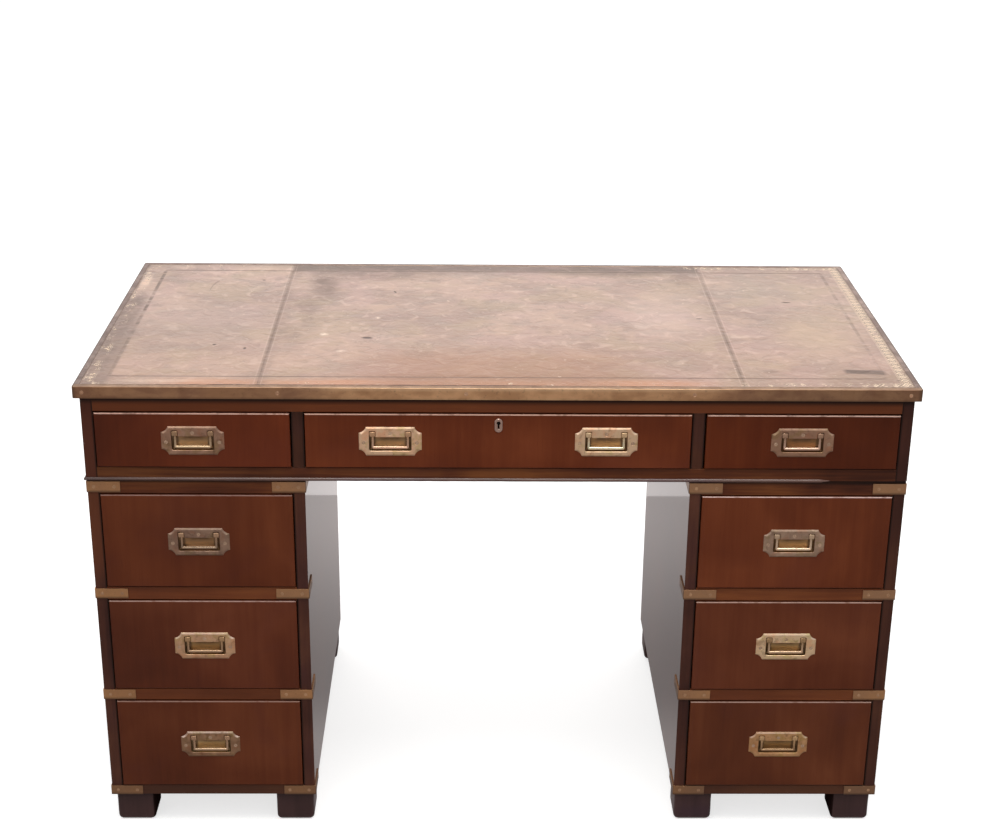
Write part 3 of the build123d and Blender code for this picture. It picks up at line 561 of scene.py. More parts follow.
    keep2 = g.noise(g.stretch((1.0, 1.0, 1.0), offset=(1, 6, 0)), 16.0, 3.0, 0.6)
    corner = most(g.dab(-0.586, -0.262, 0.016, 0.022, 0.3, 0.7), g.mul(g.dab(-0.588, -0.205, 0.012, 0.035, 0.0, 0.8), 0.8))
    kept = g.add(
        0.24,
        g.mul(g.step(x, 0.28, 0.40), 0.12),
        g.mul(g.step(x, 0.50, 0.57), 0.08),
        g.mul(g.step(dx, 0.03, 0.02), g.step(x, 0.4, 0.5), 0.11),
        g.mul(g.step(dx, 0.03, 0.02), g.step(x, -0.4, -0.5), 0.09),
        g.mul(g.step(y, 0.20, 0.27), 0.04),
        g.mul(g.step(ax, 0.34, 0.30), g.step(y, 0.0, 0.1), -0.30),
        g.mul(corner, 0.10),
    )
    survives = g.step(g.add(g.mul(keep, 1.10), g.mul(keep2, 0.30), kept), 1.08, 1.20)
    # the whole band is a little paler where the gold was laid
    lay(g.mul(g.step(va, 1.12, 0.95), g.step(kept, 0.36, 0.50), 0.22), (0.720, 0.540, 0.405))
    gold = g.mul(stamped, survives)
    lay(g.mul(gold, 0.90), (0.960, 0.760, 0.560))
    lay(g.mul(g.step(va, 1.05, 0.9), g.inv(stamped), survives, 0.62), (0.230, 0.150, 0.110))
    # the dark joint between hide and brass, widest where the sitter's arms rub
    joint_width = g.step(g.math("ABSOLUTE", g.add(x, 0.20)), 0.34, 0.20, 0.0024, 0.0056)
    joint = g.mul(g.step(dy, joint_width, g.mul(joint_width, 0.45)), g.step(y, 0.0, -0.1), g.step(mottle, 0.34, 0.54, 0.45, 1.0))
    lay(g.mul(joint, 0.88), (0.120, 0.062, 0.038))
    g.set("Base Color", colour)
    g.set("Metallic", g.mul(gold, 0.2))

    pebble = g.cells(g.stretch((1.0, 1.25, 1.0)), 520.0)
    roughness = g.add(0.34, g.mul(clouds, 0.08), g.mul(crease, 0.14), g.mul(dark, 0.16), g.mul(gold, -0.10))
    g.set("Roughness", roughness)
    relief = g.add(
        g.mul(pebble, 0.05), g.mul(crease, 1.45), g.mul(g.step(wrinkle, 0.05, 0.0), -0.12), g.mul(grainy, 0.13),
        g.mul(stamped, -0.12), g.mul(cuts, -0.4), g.mul(patches, 0.9),
    )
    g.set("Normal", g.bump(relief, 1.0, 0.0015))
    return g.mat


def leather_piece(material):
    """Three hides laid edge to edge: gently uneven, with pressed lines and rolled edges."""
    lx, ly = 600.8, 295.8
    top = 744.95

    def lines(lo, hi, pitch, features, reach, fine):
        marks = set()
        n = max(2, int(round((hi - lo) / pitch)))
        for i in range(n + 1):
            marks.add(round(lo + (hi - lo) * i / n, 3))
        for at in features:
            near = [m for m in marks if abs(m - at) < reach + 0.6]
            for m in near:
                marks.discard(m)
            for step in fine:
                for s in (-1, 1):
                    p = round(at + s * step, 3)
                    if lo <= p <= hi:
                        marks.add(p)
        marks.add(round(lo, 3))
        marks.add(round(hi, 3))
        out = sorted(marks)
        return [p for i, p in enumerate(out) if i == 0 or p - out[i - 1] > 0.02]

    line_d = LINE_D * 1000.0
    groove = (0.0, 0.5, 1.0, 1.6, 2.4)
    edge = (0.0, 0.25, 0.6, 1.1, 1.8, 2.8)
    ys = lines(-ly, ly, 3.4, (-ly, ly, -ly + line_d, ly - line_d), 2.8, sorted(set(groove + edge)))
    cuts = (-lx, SEAMS[0] * 1000, SEAMS[1] * 1000, lx)

    def height(x, y, x0, x1):
        d = min(lx - abs(x), ly - abs(y))
        seam = min(abs(x - SEAMS[0] * 1000), abs(x - SEAMS[1] * 1000))
        h = top
        h += 0.16 * flat_noise(x / 95.0, y / 70.0, 0.3) + 0.10 * flat_noise(x / 34.0, y / 26.0, 4.1)
        h += 0.045 * flat_noise(x / 14.0, y / 11.0, 9.7)
        if d > line_d:
            h -= 0.16 * math.exp(-((seam / 2.6) ** 4))
        h -= 0.16 * math.exp(-((seam / 0.70) ** 2))
        h -= 0.22 * math.exp(-(((d - line_d) / 0.8) ** 2))
        h -= 0.10 * math.exp(-(((d - 1000 * GOLD_IN) / 0.6) ** 2)) + 0.10 * math.exp(-(((d - 1000 * GOLD_OUT) / 0.6) ** 2))
        h -= 0.32 * math.exp(-((d / 0.9) ** 2))
        return min(h, 745.12)

    verts, faces = [], []
    for a, b in zip(cuts[:-1], cuts[1:]):
        x0 = a + (0.1 if a > -lx else 0.0)
        x1 = b - (0.1 if b < lx else 0.0)
        features = [x0, x1]
        for s in (-1, 1):
            if x0 < s * (lx - line_d) < x1:
                features.append(s * (lx - line_d))
        xs = lines(x0, x1, 3.9, features, 2.8, sorted(set(groove + edge)))
        start = len(verts)
        nx, ny = len(xs), len(ys)
        for yy in ys:
            for xx in xs:
                verts.append((xx, yy, height(xx, yy, x0, x1)))
        for j in range(ny - 1):
            for i in range(nx - 1):
                k = start + j * nx + i
                faces.append((k, k + 1, k + nx + 1, k + nx))
        rim = [(i, 0) for i in range(nx)] + [(nx - 1, j) for j in range(1, ny)]
        rim += [(i, ny - 1) for i in range(nx - 2, -1, -1)] + [(0, j) for j in range(ny - 2, 0, -1)]
        low = len(verts)
        for i, j in rim:
            verts.append((xs[i], ys[j], 743.82))
        n = len(rim)
        for q in range(n):
            i, j = rim[q]
            i2, j2 = rim[(q + 1) % n]
            faces.append((start + j2 * nx + i2, start + j * nx + i, low + q, low + (q + 1) % n))
        faces.append([low + q for q in range(n - 1, -1, -1)])
    mesh = mesh_from("leather_top", verts, faces)
    smooth_by_angle(mesh, 50)
    mesh.materials.append(material)
    made = new_object("leather_top", mesh)
    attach(made, "top_section")
    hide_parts("leather_panels")
    return made


# ------------------------------------------------------------- the flush pulls
PLATE_W, PLATE_H, NOTCH = 91.2, 44.8, 13.1
NOTCH_OUT = (2.15, 3.7)      # the scoop's centre lies this far outside the corner
FACE_W = 1.6
CUP_U, CUP_V0, CUP_V1 = 30.6, -14.6, 6.4
BAY_U, BAY_V1, BAY_W = 21.45, 15.7, -6.3
AXIS_V, AXIS_W = 10.9, -1.0


def plate_outline(inset, arc=9):
    """The plate's edge, anticlockwise, with its four shallow scooped corners."""
    a, b, r = PLATE_W / 2 - inset, PLATE_H / 2 - inset, NOTCH + inset
    cu0, cv0 = PLATE_W / 2 + NOTCH_OUT[0], PLATE_H / 2 + NOTCH_OUT[1]
    t0, t1 = math.asin((cu0 - a) / r), math.acos((cv0 - b) / r)
    from_side = [t0 + (t1 - t0) * i / arc for i in range(arc + 1)]
    pts = []
    for su, sv, angles in ((1, 1, from_side), (-1, 1, from_side[::-1]), (-1, -1, from_side), (1, -1, from_side[::-1])):
        pts += [(su * (cu0 - r * math.sin(t)), sv * (cv0 - r * math.cos(t))) for t in angles]
    return pts


def rounded_loop(corners, radii, grow, arc=4):
    """Corners anticlockwise, moved outwards by grow, each rounded by its radius."""
    n = len(corners)
    lines = []
    for i in range(n):
        (x0, y0), (x1, y1) = corners[i], corners[(i + 1) % n]
        length = math.hypot(x1 - x0, y1 - y0)
        nx, ny = (y1 - y0) / length, -(x1 - x0) / length
        lines.append((x0 + nx * grow, y0 + ny * grow, (x1 - x0) / length, (y1 - y0) / length))
    pts = []
    for i in range(n):
        px, py, pdx, pdy = lines[i - 1]
        qx, qy, qdx, qdy = lines[i]
        cross = pdx * qdy - pdy * qdx
        t = ((qx - px) * qdy - (qy - py) * qdx) / cross
        cx, cy = px + pdx * t, py + pdy * t
        r = max(0.05, radii[i] + (grow if cross > 0 else -grow))
        mx, my = cx - pdx * r + qdx * r, cy - pdy * r + qdy * r
        a0 = math.atan2(cy - pdy * r - my, cx - pdx * r - mx)
        a1 = math.atan2(cy + qdy * r - my, cx + qdx * r - mx)
        span = (a1 - a0 + math.pi) % (2 * math.pi) - math.pi
        for k in range(arc + 1):
            a = a0 + span * k / arc
            pts.append((mx + r * math.cos(a), my + r * math.sin(a)))
    return pts


RECESS = [(-CUP_U, CUP_V0), (CUP_U, CUP_V0), (CUP_U, BAY_V1), (BAY_U, BAY_V1), (BAY_U, CUP_V1), (-BAY_U, CUP_V1), (-BAY_U, BAY_V1), (-CUP_U, BAY_V1)]
RECESS_R = [2.6, 2.6, 1.3, 1.3, 1.3, 1.3, 1.3, 1.3]
PULL_SCREWS = ((-38.6, -2.2), (38.6, -2.2), (0.0, 12.2))


def inside(loop, u, v):
    hit = False
    for i in range(len(loop)):
        (x0, y0), (x1, y1) = loop[i - 1], loop[i]
        if (y0 > v) != (y1 > v) and u < x0 + (v - y0) * (x1 - x0) / (y1 - y0):
            hit = not hit
    return hit


def bowl(u, v):
    """Depth of the dished finger recess, below its short upright wall."""
    hu = 1.0 - min(1.0, abs(u) / CUP_U) ** 3.2
    t = (v - (-2.6)) / ((-2.6) - CUP_V0) if v < -2.6 else (v + 2.6) / 11.0
    hv = 1.0 - min(1.0, abs(t)) ** 2.6
    return -2.3 - 6.0 * math.sqrt(max(0.0, hu * hv))


def pull_plate_mesh(name, seed):
    pts, ws, loops = [], [], []

    def loop(points, w):
        start = len(pts)
        for p in points:
            pts.append(Vector(p))
            ws.append(w(*p) if callable(w) else w)
        loops.extend((start + i, start + (i + 1) % len(points)) for i in range(len(points)))
        return start, len(points)

    outer = loop(plate_outline(0.0), 0.30)
    for inset, w in ((0.20, 0.45), (0.50, 0.60), (2.30, 1.47), (2.70, FACE_W)):
        loop(plate_outline(inset), w)
    for grow, w in ((1.0, FACE_W), (0.62, 1.50), (0.28, 1.18), (0.06, 0.62)):
        loop(rounded_loop(RECESS, RECESS_R, grow), w)
    wall = rounded_loop(RECESS, RECESS_R, -0.14)

    def floor(u, v):
        if v > CUP_V1 + 0.7 and abs(u) > BAY_U - 0.2:
            return BAY_W
        return bowl(u, v)

    loop(wall, lambda u, v: max(floor(u, v), -2.3) if v < CUP_V1 + 0.5 else -2.3)
    inner = rounded_loop(RECESS, RECESS_R, -0.42)
    loop(inner, floor)
    for u, v in PULL_SCREWS:
        for r, w in ((3.15, FACE_W), (2.98, 1.5), (2.9, 1.3)):
            loop([(u + r * math.cos(math.tau * i / 28), v + r * math.sin(math.tau * i / 28)) for i in range(28)], w)
    grid = 1.5
    face_keep = plate_outline(3.3)
    clear = rounded_loop(RECESS, RECESS_R, 1.7)
    tight = rounded_loop(RECESS, RECESS_R, -0.9)
    i = -31
    while i <= 31:
        j = -15
        while j <= 15:
            u, v = i * grid, j * grid
            if inside(tight, u, v):
                pts.append(Vector((u, v)))
                ws.append(floor(u, v))
            elif inside(face_keep, u, v) and not inside(clear, u, v) and all(math.hypot(u - a, v - b) > 4.1 for a, b in PULL_SCREWS):
                pts.append(Vector((u, v)))
                ws.append(FACE_W)
            j += 1
        i += 1
    got, _, tris, origin, _, _ = delaunay_2d_cdt(pts, loops, [], 1, 1e-5)
    verts = []
    for k, p in enumerate(got):
        src = origin[k]
        w = ws[src[0]] if src else FACE_W
        wob = 0.05 * flat_noise(p.x / 9.0 + seed * 3.3, p.y / 7.0, seed)
        verts.append((p.x, p.y, w + (wob if w > 1.4 or w < -3 else 0.0)))
    faces = [tuple(t) for t in tris]
    # the rim goes back to the drawer front, then round the outside of the cup
    back_of = {}
    for k in range(outer[1]):
        index = next(i for i, o in enumerate(origin) if outer[0] + k in o)
        back_of[k] = index
    rim = len(verts)
    rim_pts = plate_outline(0.0)
    for p in rim_pts:
        verts.append((p[0], p[1], -0.05))
    n = len(rim_pts)
    cup = [(-32.3, -16.3), (32.3, -16.3), (32.3, 18.3), (-32.3, 18.3)]
    cup0 = len(verts)
    for w in (-0.05, -9.5):
        for p in cup:
            verts.append((p[0], p[1], w))
    for k in range(n):
        q = (k + 1) % n
        faces.append((back_of[k], rim + k, rim + q, back_of[q]))
    ring_pts = [Vector(p) for p in rim_pts] + [Vector(p) for p in cup]
    ring_edges = [(k, (k + 1) % n) for k in range(n)] + [(n + k, n + (k + 1) % 4) for k in range(4)]
    _, _, ring_tris, ring_src, _, _ = delaunay_2d_cdt(ring_pts, ring_edges, [], 1, 1e-5)
    index = [(rim + s[0] if s[0] < n else cup0 + s[0] - n) for s in ring_src]
    for t in ring_tris:
        cu = sum(ring_pts[ring_src[k][0]].x for k in t) / 3
        cv = sum(ring_pts[ring_src[k][0]].y for k in t) / 3
        if abs(cu) < 32.3 and -16.3 < cv < 18.3:
            continue
        faces.append(tuple(index[k] for k in reversed(t)))
    for k in range(4):
        q = (k + 1) % 4
        faces.append((cup0 + k, cup0 + 4 + k, cup0 + 4 + q, cup0 + q))
    faces.append((cup0 + 7, cup0 + 6, cup0 + 5, cup0 + 4))
    return verts, faces


def screw_mesh(u, v, r, turn, w_top, w_low):
    """A slotted head, slightly domed, seen from the front."""
    angles = sorted(set([math.tau * i / 28 for i in range(28)]))
    c, s = math.cos(turn), math.sin(turn)
    half = 0.26
    pts, ws, edges = [], [], []

    def height(a, b):
        return w_top + 0.16 * (1 - (a * a + b * b) / (r * r)) - 0.10 * max(0.0, (math.hypot(a, b) / r - 0.86) / 0.14)

    ring = []
    special = [math.asin(h / r) for h in (half, half + 0.07)]
    for h in special:
        angles += [h, math.pi - h, math.pi + h, math.tau - h]
    angles = sorted(angles)
    for t in angles:
        a, b = r * math.cos(t), r * math.sin(t)
        ring.append(len(pts))
        pts.append(Vector((a, b)))
        ws.append(w_top - 0.5 if abs(b) < half + 0.02 else height(a, b))
    edges += [(ring[i], ring[(i + 1) % len(ring)]) for i in range(len(ring))]
    for level, dip in ((half, True), (half + 0.07, False)):
        for sign in (-1, 1):
            b = sign * level
            end = math.sqrt(r * r - b * b)
            row = []
            for i in range(1, 8):
                a = -end + 2 * end * i / 8
                row.append(len(pts))
                pts.append(Vector((a, b)))
                ws.append(w_top - 0.5 if dip else height(a, b))
            ends = [i for i in ring if abs(pts[i].y - b) < 1e-4]
            left = min(ends, key=lambda i: pts[i].x)
            right = max(ends, key=lambda i: pts[i].x)
            row = [left] + row + [right]
            edges += list(zip(row[:-1], row[1:]))
    for ring_r in (0.45, 0.75, 0.9):
        for i in range(16):
            t = math.tau * (i + 0.5) / 16
            a, b = r * ring_r * math.cos(t), r * ring_r * math.sin(t)
            if abs(b) > half + 0.2:
                pts.append(Vector((a, b)))
                ws.append(height(a, b))
    got, _, tris, origin, _, _ = delaunay_2d_cdt(pts, edges, [], 1, 1e-6)
    verts = []
    for k, p in enumerate(got):
        w = ws[origin[k][0]] if origin[k] else w_top
        verts.append((u + p.x * c - p.y * s, v + p.x * s + p.y * c, w))
    faces = [tuple(t) for t in tris]
    where = {}
    for k, o in enumerate(origin):
        for one in o:
            where[one] = k
    base = len(verts)
    for i in ring:
        p = pts[i]
        verts.append((u + 0.9 * (p.x * c - p.y * s), v + 0.9 * (p.x * s + p.y * c), w_low))
    n = len(ring)
    for i in range(n):
        q = (i + 1) % n
        faces.append((where[ring[i]], base + i, base + q, where[ring[q]]))
    faces.append([base + i for i in range(n - 1, -1, -1)])
    return verts, faces


def loft(rings, close_ends=True):
    """Joins rings of equal length into one closed skin."""
    verts, faces = [], []
    n = len(rings[0])
    for ring in rings:
        verts += ring
    for a in range(len(rings) - 1):
        for i in range(n):
            j = (i + 1) % n
            faces.append((a * n + i, a * n + j, (a + 1) * n + j, (a + 1) * n + i))
    if close_ends:
        faces.append(list(range(n - 1, -1, -1)))
        last = (len(rings) - 1) * n
        faces.append([last + i for i in range(n)])
    return verts, faces


def squircle(half_a, half_b, power, n=20):
    pts = []
    for i in range(n):
        t = math.tau * i / n
        c, s = math.cos(t), math.sin(t)
        pts.append((half_a * math.copysign(abs(c) ** (2 / power), c), half_b * math.copysign(abs(s) ** (2 / power), s)))
    return pts


def bail_mesh(seed):
    """The swinging handle in local u, v, w: two arms, a thicker grip and two square knuckles."""
    bar_v, bar_w, arm_u, bend = -10.0, -0.7, 25.5, 1.7
    path = [((-arm_u, 8.0), (0.0, -1.0), 1.8, 1.5, 2.8), ((-arm_u, 2.0), (0.0, -1.0), 1.75, 1.5, 2.8), ((-arm_u, bar_v + bend + 1.6), (0.0, -1.0), 1.9, 1.7, 2.6)]
    for k in range(6):
        a = math.pi / 2 * k / 5
        path.append(((-arm_u + bend * (1 - math.cos(a)), bar_v + bend * (1 - math.sin(a))), (math.sin(a), -math.cos(a)), 1.95 + 0.35 * k / 5, 1.85 + 0.4 * k / 5, 2.5 - 0.3 * k / 5))
    for u in (-20.0, -12.0, 0.0):
        swell = 2.35 if u < 0 else 2.45
        path.append(((u, bar_v), (1.0, 0.0), swell, 2.3, 2.15))
    mirrored = []
    for (pu, pv), (tu, tv), ra, rb, power in reversed(path[:-1]):
        mirrored.append(((-pu, pv), (tu, -tv), ra, rb, power))
    path += mirrored
    rings = []
    for (pu, pv), (tu, tv), ra, rb, power in path:
        ring = []
        for a, b in squircle(ra, rb, power):
            ring.append((pu + tv * a, pv - tu * a, bar_w + b))
        rings.append(ring)
    verts, faces = loft(rings)
    for s in (-1, 1):
        rings = []
        for u, shrink in ((21.8, 0.80), (22.0, 0.93), (22.5, 1.0), (29.2, 1.0), (29.75, 0.93), (30.0, 0.80)):
            rings.append([(s * u, 10.95 + 3.95 * shrink * 0 + a * shrink, -0.9 + b * shrink) for a, b in squircle(3.95, 2.6, 5.0)])
        if s < 0:
            rings.reverse()
        v2, f2 = loft(rings)
        faces += [tuple(i + len(verts) for i in f) for f in f2]
        verts += v2
        pin = [[(s * u, AXIS_V + math.sin(math.tau * i / 12), AXIS_W + math.cos(math.tau * i / 12)) for i in range(12)] for u in (29.6, 31.7)]
        if s > 0:
            pin.reverse()
        v2, f2 = loft(pin)
        faces += [tuple(i + len(verts) for i in f) for f in f2]
        verts += v2
    return verts, faces


def place(verts, cx, cz, face_y):
    """Local u, v, w to the desk's frame: w comes out of the drawer."""
    return [(cx + u, face_y - w, cz + v) for u, v, w in verts]


def fix_normals(mesh):
    bm = bmesh.new()
    bm.from_mesh(mesh)
    bmesh.ops.recalc_face_normals(bm, faces=bm.faces)
    bm.to_mesh(mesh)
    bm.free()


def soft_step(value, low, high):
    t = min(1.0, max(0.0, (value - low) / (high - low)))
    return t * t * (3.0 - 2.0 * t)


def grime_and_shade_at(u, v):
    """How dark the recess is painted, partly soiling and partly painted shade: full in the bays, the corners and under
    its upper wall.
    """
    if v > CUP_V1 + 0.2:
        return 0.20
    top = 0.92 * soft_step(v, -6.0, 3.5) * (1.0 - 0.55 * soft_step(abs(u), 9.0, 19.0))
    side = max(soft_step(abs(u), CUP_U - 5.0, CUP_U - 1.2), 0.85 * soft_step(abs(u), 19.6, 22.6) * soft_step(v, -11.5, -8.5))
    low = 0.8 * soft_step(-v, -CUP_V0 - 2.6, -CUP_V0 - 0.4)
    return max(top, side, low)


def wear_and_highlight_at(u, v, w):
    """Rubbed bright along the upper bevels and on the lower lip of the recess, with a painted highlight there too."""
    if w < 0.2:
        return 0.0
    if w < FACE_W - 0.07 and abs(v) < PLATE_H / 2 and (abs(v) > 12.0 or abs(u) > CUP_U + 9.0):
        return soft_step(v, 4.0, 12.0) * (1.0 if abs(u) < 34.0 else 0.45 + 0.55 * soft_step(abs(u), 36.5, 40.5))
    return 0.9 * soft_step(-v, -CUP_V0 - 0.4, -CUP_V0 + 0.1) * soft_step(v, CUP_V0 - 1.4, CUP_V0 - 0.9) * (1.0 if abs(u) < CUP_U + 0.6 else 0.0)


def bail_grime_and_shade(u, v):
    """Dark on the knuckles, most on their tops, and along the arms, partly soiling and partly painted shade of the
    recess; clean on the grip.
    """
    if v > 6.8:
        return 0.85
    return 0.50 * soft_step(v, -7.5, 2.0)


def make_pull(stem, cx, cz, face_y, drawer_body, plate_mat, cup_mat, bail_mat, screw_mat, seed):
    verts, faces = pull_plate_mesh(stem, seed)
    split = len(faces)
    for i, (u, v) in enumerate(PULL_SCREWS):
        turn = [0.25, 2.2, 1.05][i] + seed * 0.9
        v2, f2 = screw_mesh(u, v, 2.75, turn, 1.5, 0.4)
        faces += [tuple(k + len(verts) for k in f) for f in f2]
        verts += v2
    mesh = mesh_from(stem + "_flush_plate", place(verts, cx, cz, face_y), faces)
    mesh.materials.append(plate_mat)
    mesh.materials.append(cup_mat)
    mesh.materials.append(screw_mat)
    tight = rounded_loop(RECESS, RECESS_R, 0.1)
    for k, poly in enumerate(mesh.polygons):
        if k >= split:
            poly.material_index = 2
            continue
        c = [sum(verts[i][q] for i in faces[k]) / len(faces[k]) for q in range(3)]
        poly.material_index = 1 if c[2] < 0.4 and inside(tight, c[0], c[1]) else 0
    grime_and_shade = mesh.attributes.new("grime_and_shade", "FLOAT", "POINT")
    for k, (u, v, w) in enumerate(verts):
        grime_and_shade.data[k].value = grime_and_shade_at(u, v) if w < 0.3 and inside(tight, u, v) else 0.0
    rim = mesh.attributes.new("rim", "FLOAT", "POINT")
    for k, (u, v, w) in enumerate(verts):
        rim.data[k].value = wear_and_highlight_at(u, v, w)
    fix_normals(mesh)
    smooth_by_angle(mesh, 42)
    plate = new_object(stem + "_flush_plate", mesh)
    weigh = plate.modifiers.new("weigh", "WEIGHTED_NORMAL")
    weigh.keep_sharp = True
    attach(plate, drawer_body)
    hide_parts(stem + "_pull_plate")

    verts, faces = bail_mesh(seed)
    mesh = mesh_from(stem + "_swing_bail", place(verts, cx, cz, face_y), faces)
    mesh.materials.append(bail_mat)
    grime_and_shade = mesh.attributes.new("grime_and_shade", "FLOAT", "POINT")
    for k, (u, v, w) in enumerate(verts):
        grime_and_shade.data[k].value = bail_grime_and_shade(u, v)
    fix_normals(mesh)
    smooth_by_angle(mesh, 40)
    bail = new_object(stem + "_swing_bail", mesh)
    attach(bail, stem + "_bail")
    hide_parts(stem + "_pull_bail")


# ------------------------------------------------------------------ materials
DEEP, MID, LIGHT = (0.075, 0.0165, 0.0065), (0.135, 0.030, 0.0095), (0.200, 0.050, 0.0165)


def tint(colour, k, red=1.0, blue=1.0):
    return (colour[0] * k * red, colour[1] * k, colour[2] * k * blue)


TOP_FACE, PED_FACE = -0.296, -0.2925


def front_wood(name, seed, k, face_y, red=1.0, blue=1.0, top_highlight=(0.50, 0.34, 0.28), ends=None, at=None):
    """A drawer front's wood with a painted highlight on its top edge; ends paints shade on it by so much at its left
    and right end.
    """
    def shade(g, colour):
        if ends is None:
            return colour
        # painted shade, darker towards the left and right end of the front
        along = g.step(g.xyz[0], at[0], at[1], ends[0], ends[1])
        return g.mix(along, colour, (0.030, 0.008, 0.004))

    return wood(
        name, "Z", seed, tint(DEEP, k, red, blue), tint(MID, k, red, blue), tint(LIGHT, k, red, blue),
        gloss=0.30, specular=0.13, contrast=0.46, cloud=0.8, wear=0.45, worn=(0.22, 0.075, 0.04), face_y=face_y, top_highlight=top_highlight, shade=shade, reach=(0.06, 0.40) if face_y == TOP_FACE else (0.28, 0.62),
    )


LEFT_AT, RIGHT_AT = (-0.58, -0.31), (0.31, 0.58)
# columns: seed, tone, face, red, blue, colour of the painted highlight on the top edge, painted shade at the left and
# right end, and where along x it changes from one end to the other
FRONTS = {
    "top_left_drawer_front": (1.3, 1.06, TOP_FACE, 1.13, 1.0, (0.95, 0.60, 0.48), (0.36, 0.0), LEFT_AT),
    "top_centre_drawer_front": (2.9, 1.03, TOP_FACE, 1.07, 1.0, (0.92, 0.58, 0.45), None, None),
    "top_right_drawer_front": (4.1, 0.72, TOP_FACE, 1.19, 0.85, (0.95, 0.64, 0.52), (0.0, 0.26), RIGHT_AT),
    "left_upper_drawer_front": (5.7, 0.92, PED_FACE, 0.99, 1.08, (0.30, 0.185, 0.160), (0.10, 0.0), LEFT_AT),
    "left_middle_drawer_front": (6.6, 1.04, PED_FACE, 0.93, 1.28, (0.42, 0.28, 0.24), (0.24, 0.0), LEFT_AT),
    "left_lower_drawer_front": (7.2, 1.04, PED_FACE, 0.92, 1.17, (0.32, 0.195, 0.155), (0.10, 0.0), LEFT_AT),
    "right_upper_drawer_front": (8.8, 1.12, PED_FACE, 1.0, 1.05, (0.78, 0.58, 0.54), None, None),
    "right_middle_drawer_front": (9.4, 0.96, PED_FACE, 0.94, 1.22, (0.50, 0.34, 0.28), None, None),
    "right_lower_drawer_front": (10.3, 1.22, PED_FACE, 0.86, 1.2, (0.42, 0.28, 0.23), (0.12, 0.0), RIGHT_AT),
}


def give(node, material):
    """One material all over a carried-over CAD node."""
    mesh = NODES[node].data
    mesh.materials.clear()
    mesh.materials.append(material)


def soften(node, width, segments=2, angle=35.0):
    """Rounds the sharp edges of a CAD node with modifiers."""
    target = NODES[node]
    weld = target.modifiers.new("weld", "WELD")
    weld.merge_threshold = 0.00001
    bevel = target.modifiers.new("soften", "BEVEL")
    bevel.width = width
    bevel.segments = segments
    bevel.limit_method = "ANGLE"
    bevel.angle_limit = math.radians(angle)
    bevel.use_clamp_overlap = True
    bevel.harden_normals = False
    weigh = target.modifiers.new("weigh", "WEIGHTED_NORMAL")
    weigh.keep_sharp = False


for node, (seed, k, face_y, red, blue, top_highlight, ends, at) in FRONTS.items():
    give(node, front_wood(node.replace("_front", "_mahogany"), seed, k, face_y, red, blue, top_highlight, ends, at))


def across(g):
    return g.math("ABSOLUTE", g.xyz[0])


def stile_painted_shade(g):
    """Painted shade where each side board meets the drawer openings, under the desk top's edge and under the bead."""
    inner = g.mul(g.step(across(g), 0.2978, 0.3002), g.step(across(g), 0.32, 0.31))
    outer = g.mul(g.step(across(g), 0.5884, 0.5860), g.step(across(g), 0.57, 0.58))
    top = g.mul(g.step(g.xyz[2], 0.7072, 0.7170), g.step(g.xyz[1], -0.20, -0.25))
    bead = g.mul(g.step(g.xyz[2], 0.5822, 0.5872), g.step(g.xyz[2], 0.5915, 0.5912), g.step(g.xyz[1], -0.20, -0.25))
    return g.mul(g.math("MAXIMUM", g.math("MAXIMUM", inner, outer), g.math("MAXIMUM", top, bead)), 0.76)


def divider_painted_shade(g):
    # painted shade along the edges beside the drawer openings and under the desk top's edge
    edges = g.math("MAXIMUM", g.step(across(g), 0.2972, 0.2994), g.step(across(g), 0.2850, 0.2826))
    return g.mul(g.math("MAXIMUM", edges, g.step(g.xyz[2], 0.7072, 0.7170)), 0.72)


def rail_shade_and_darkening(g):
    """Painted shade under the desk top's edge and under the bead; darker just above the bead, most at the left; the
    lowest rails are dark all over.
    """
    under_edge = g.mul(g.step(g.xyz[2], 0.7072, 0.7170), 0.90)
    low = g.mul(g.step(g.xyz[2], 0.080, 0.070), 0.38)
    above_bead = g.mul(g.step(g.xyz[2], 0.5905, 0.5925), g.step(g.xyz[2], 0.6125, 0.6095), g.step(g.xyz[0], -0.26, -0.36, 0.10, 0.30))
    under_bead = g.mul(g.step(g.xyz[2], 0.5822, 0.5872), g.step(g.xyz[2], 0.5915, 0.5912), 0.80)
    return g.math("MAXIMUM", g.math("MAXIMUM", under_edge, low), g.math("MAXIMUM", above_bead, under_bead))


def side_shade(g, colour):
    """The outer boards are redder in the frieze and darker on the right."""
    frieze = g.step(g.xyz[2], 0.588, 0.592)
    colour = g.mix(g.mul(frieze, g.step(g.xyz[0], 0.0, -0.1), 0.45), colour, (0.135, 0.034, 0.015))
    warm = g.mul(g.step(g.xyz[2], 0.40, 0.47), g.step(g.xyz[0], -0.56, -0.58), g.inv(frieze))
    colour = g.mix(g.mul(warm, 0.62), colour, (0.160, 0.046, 0.018))
    return g.mix(g.mul(g.step(g.xyz[0], 0.56, 0.58), 0.30), colour, (0.036, 0.010, 0.006))


def rail_shade(g, colour):
    """The rails are lighter low down and at the left of the frieze."""
    low = g.mul(g.step(g.xyz[2], 0.47, 0.40), 0.34)
    top = g.mul(g.step(g.xyz[2], 0.690, 0.694), g.step(g.xyz[0], -0.26, -0.34, 0.62, 0.54))
    colour = g.mix(g.math("MAXIMUM", low, top), colour, (0.262, 0.070, 0.022))
    return g.mix(g.mul(g.step(g.xyz[2], 0.085, 0.075), 0.45), colour, (0.110, 0.058, 0.042))


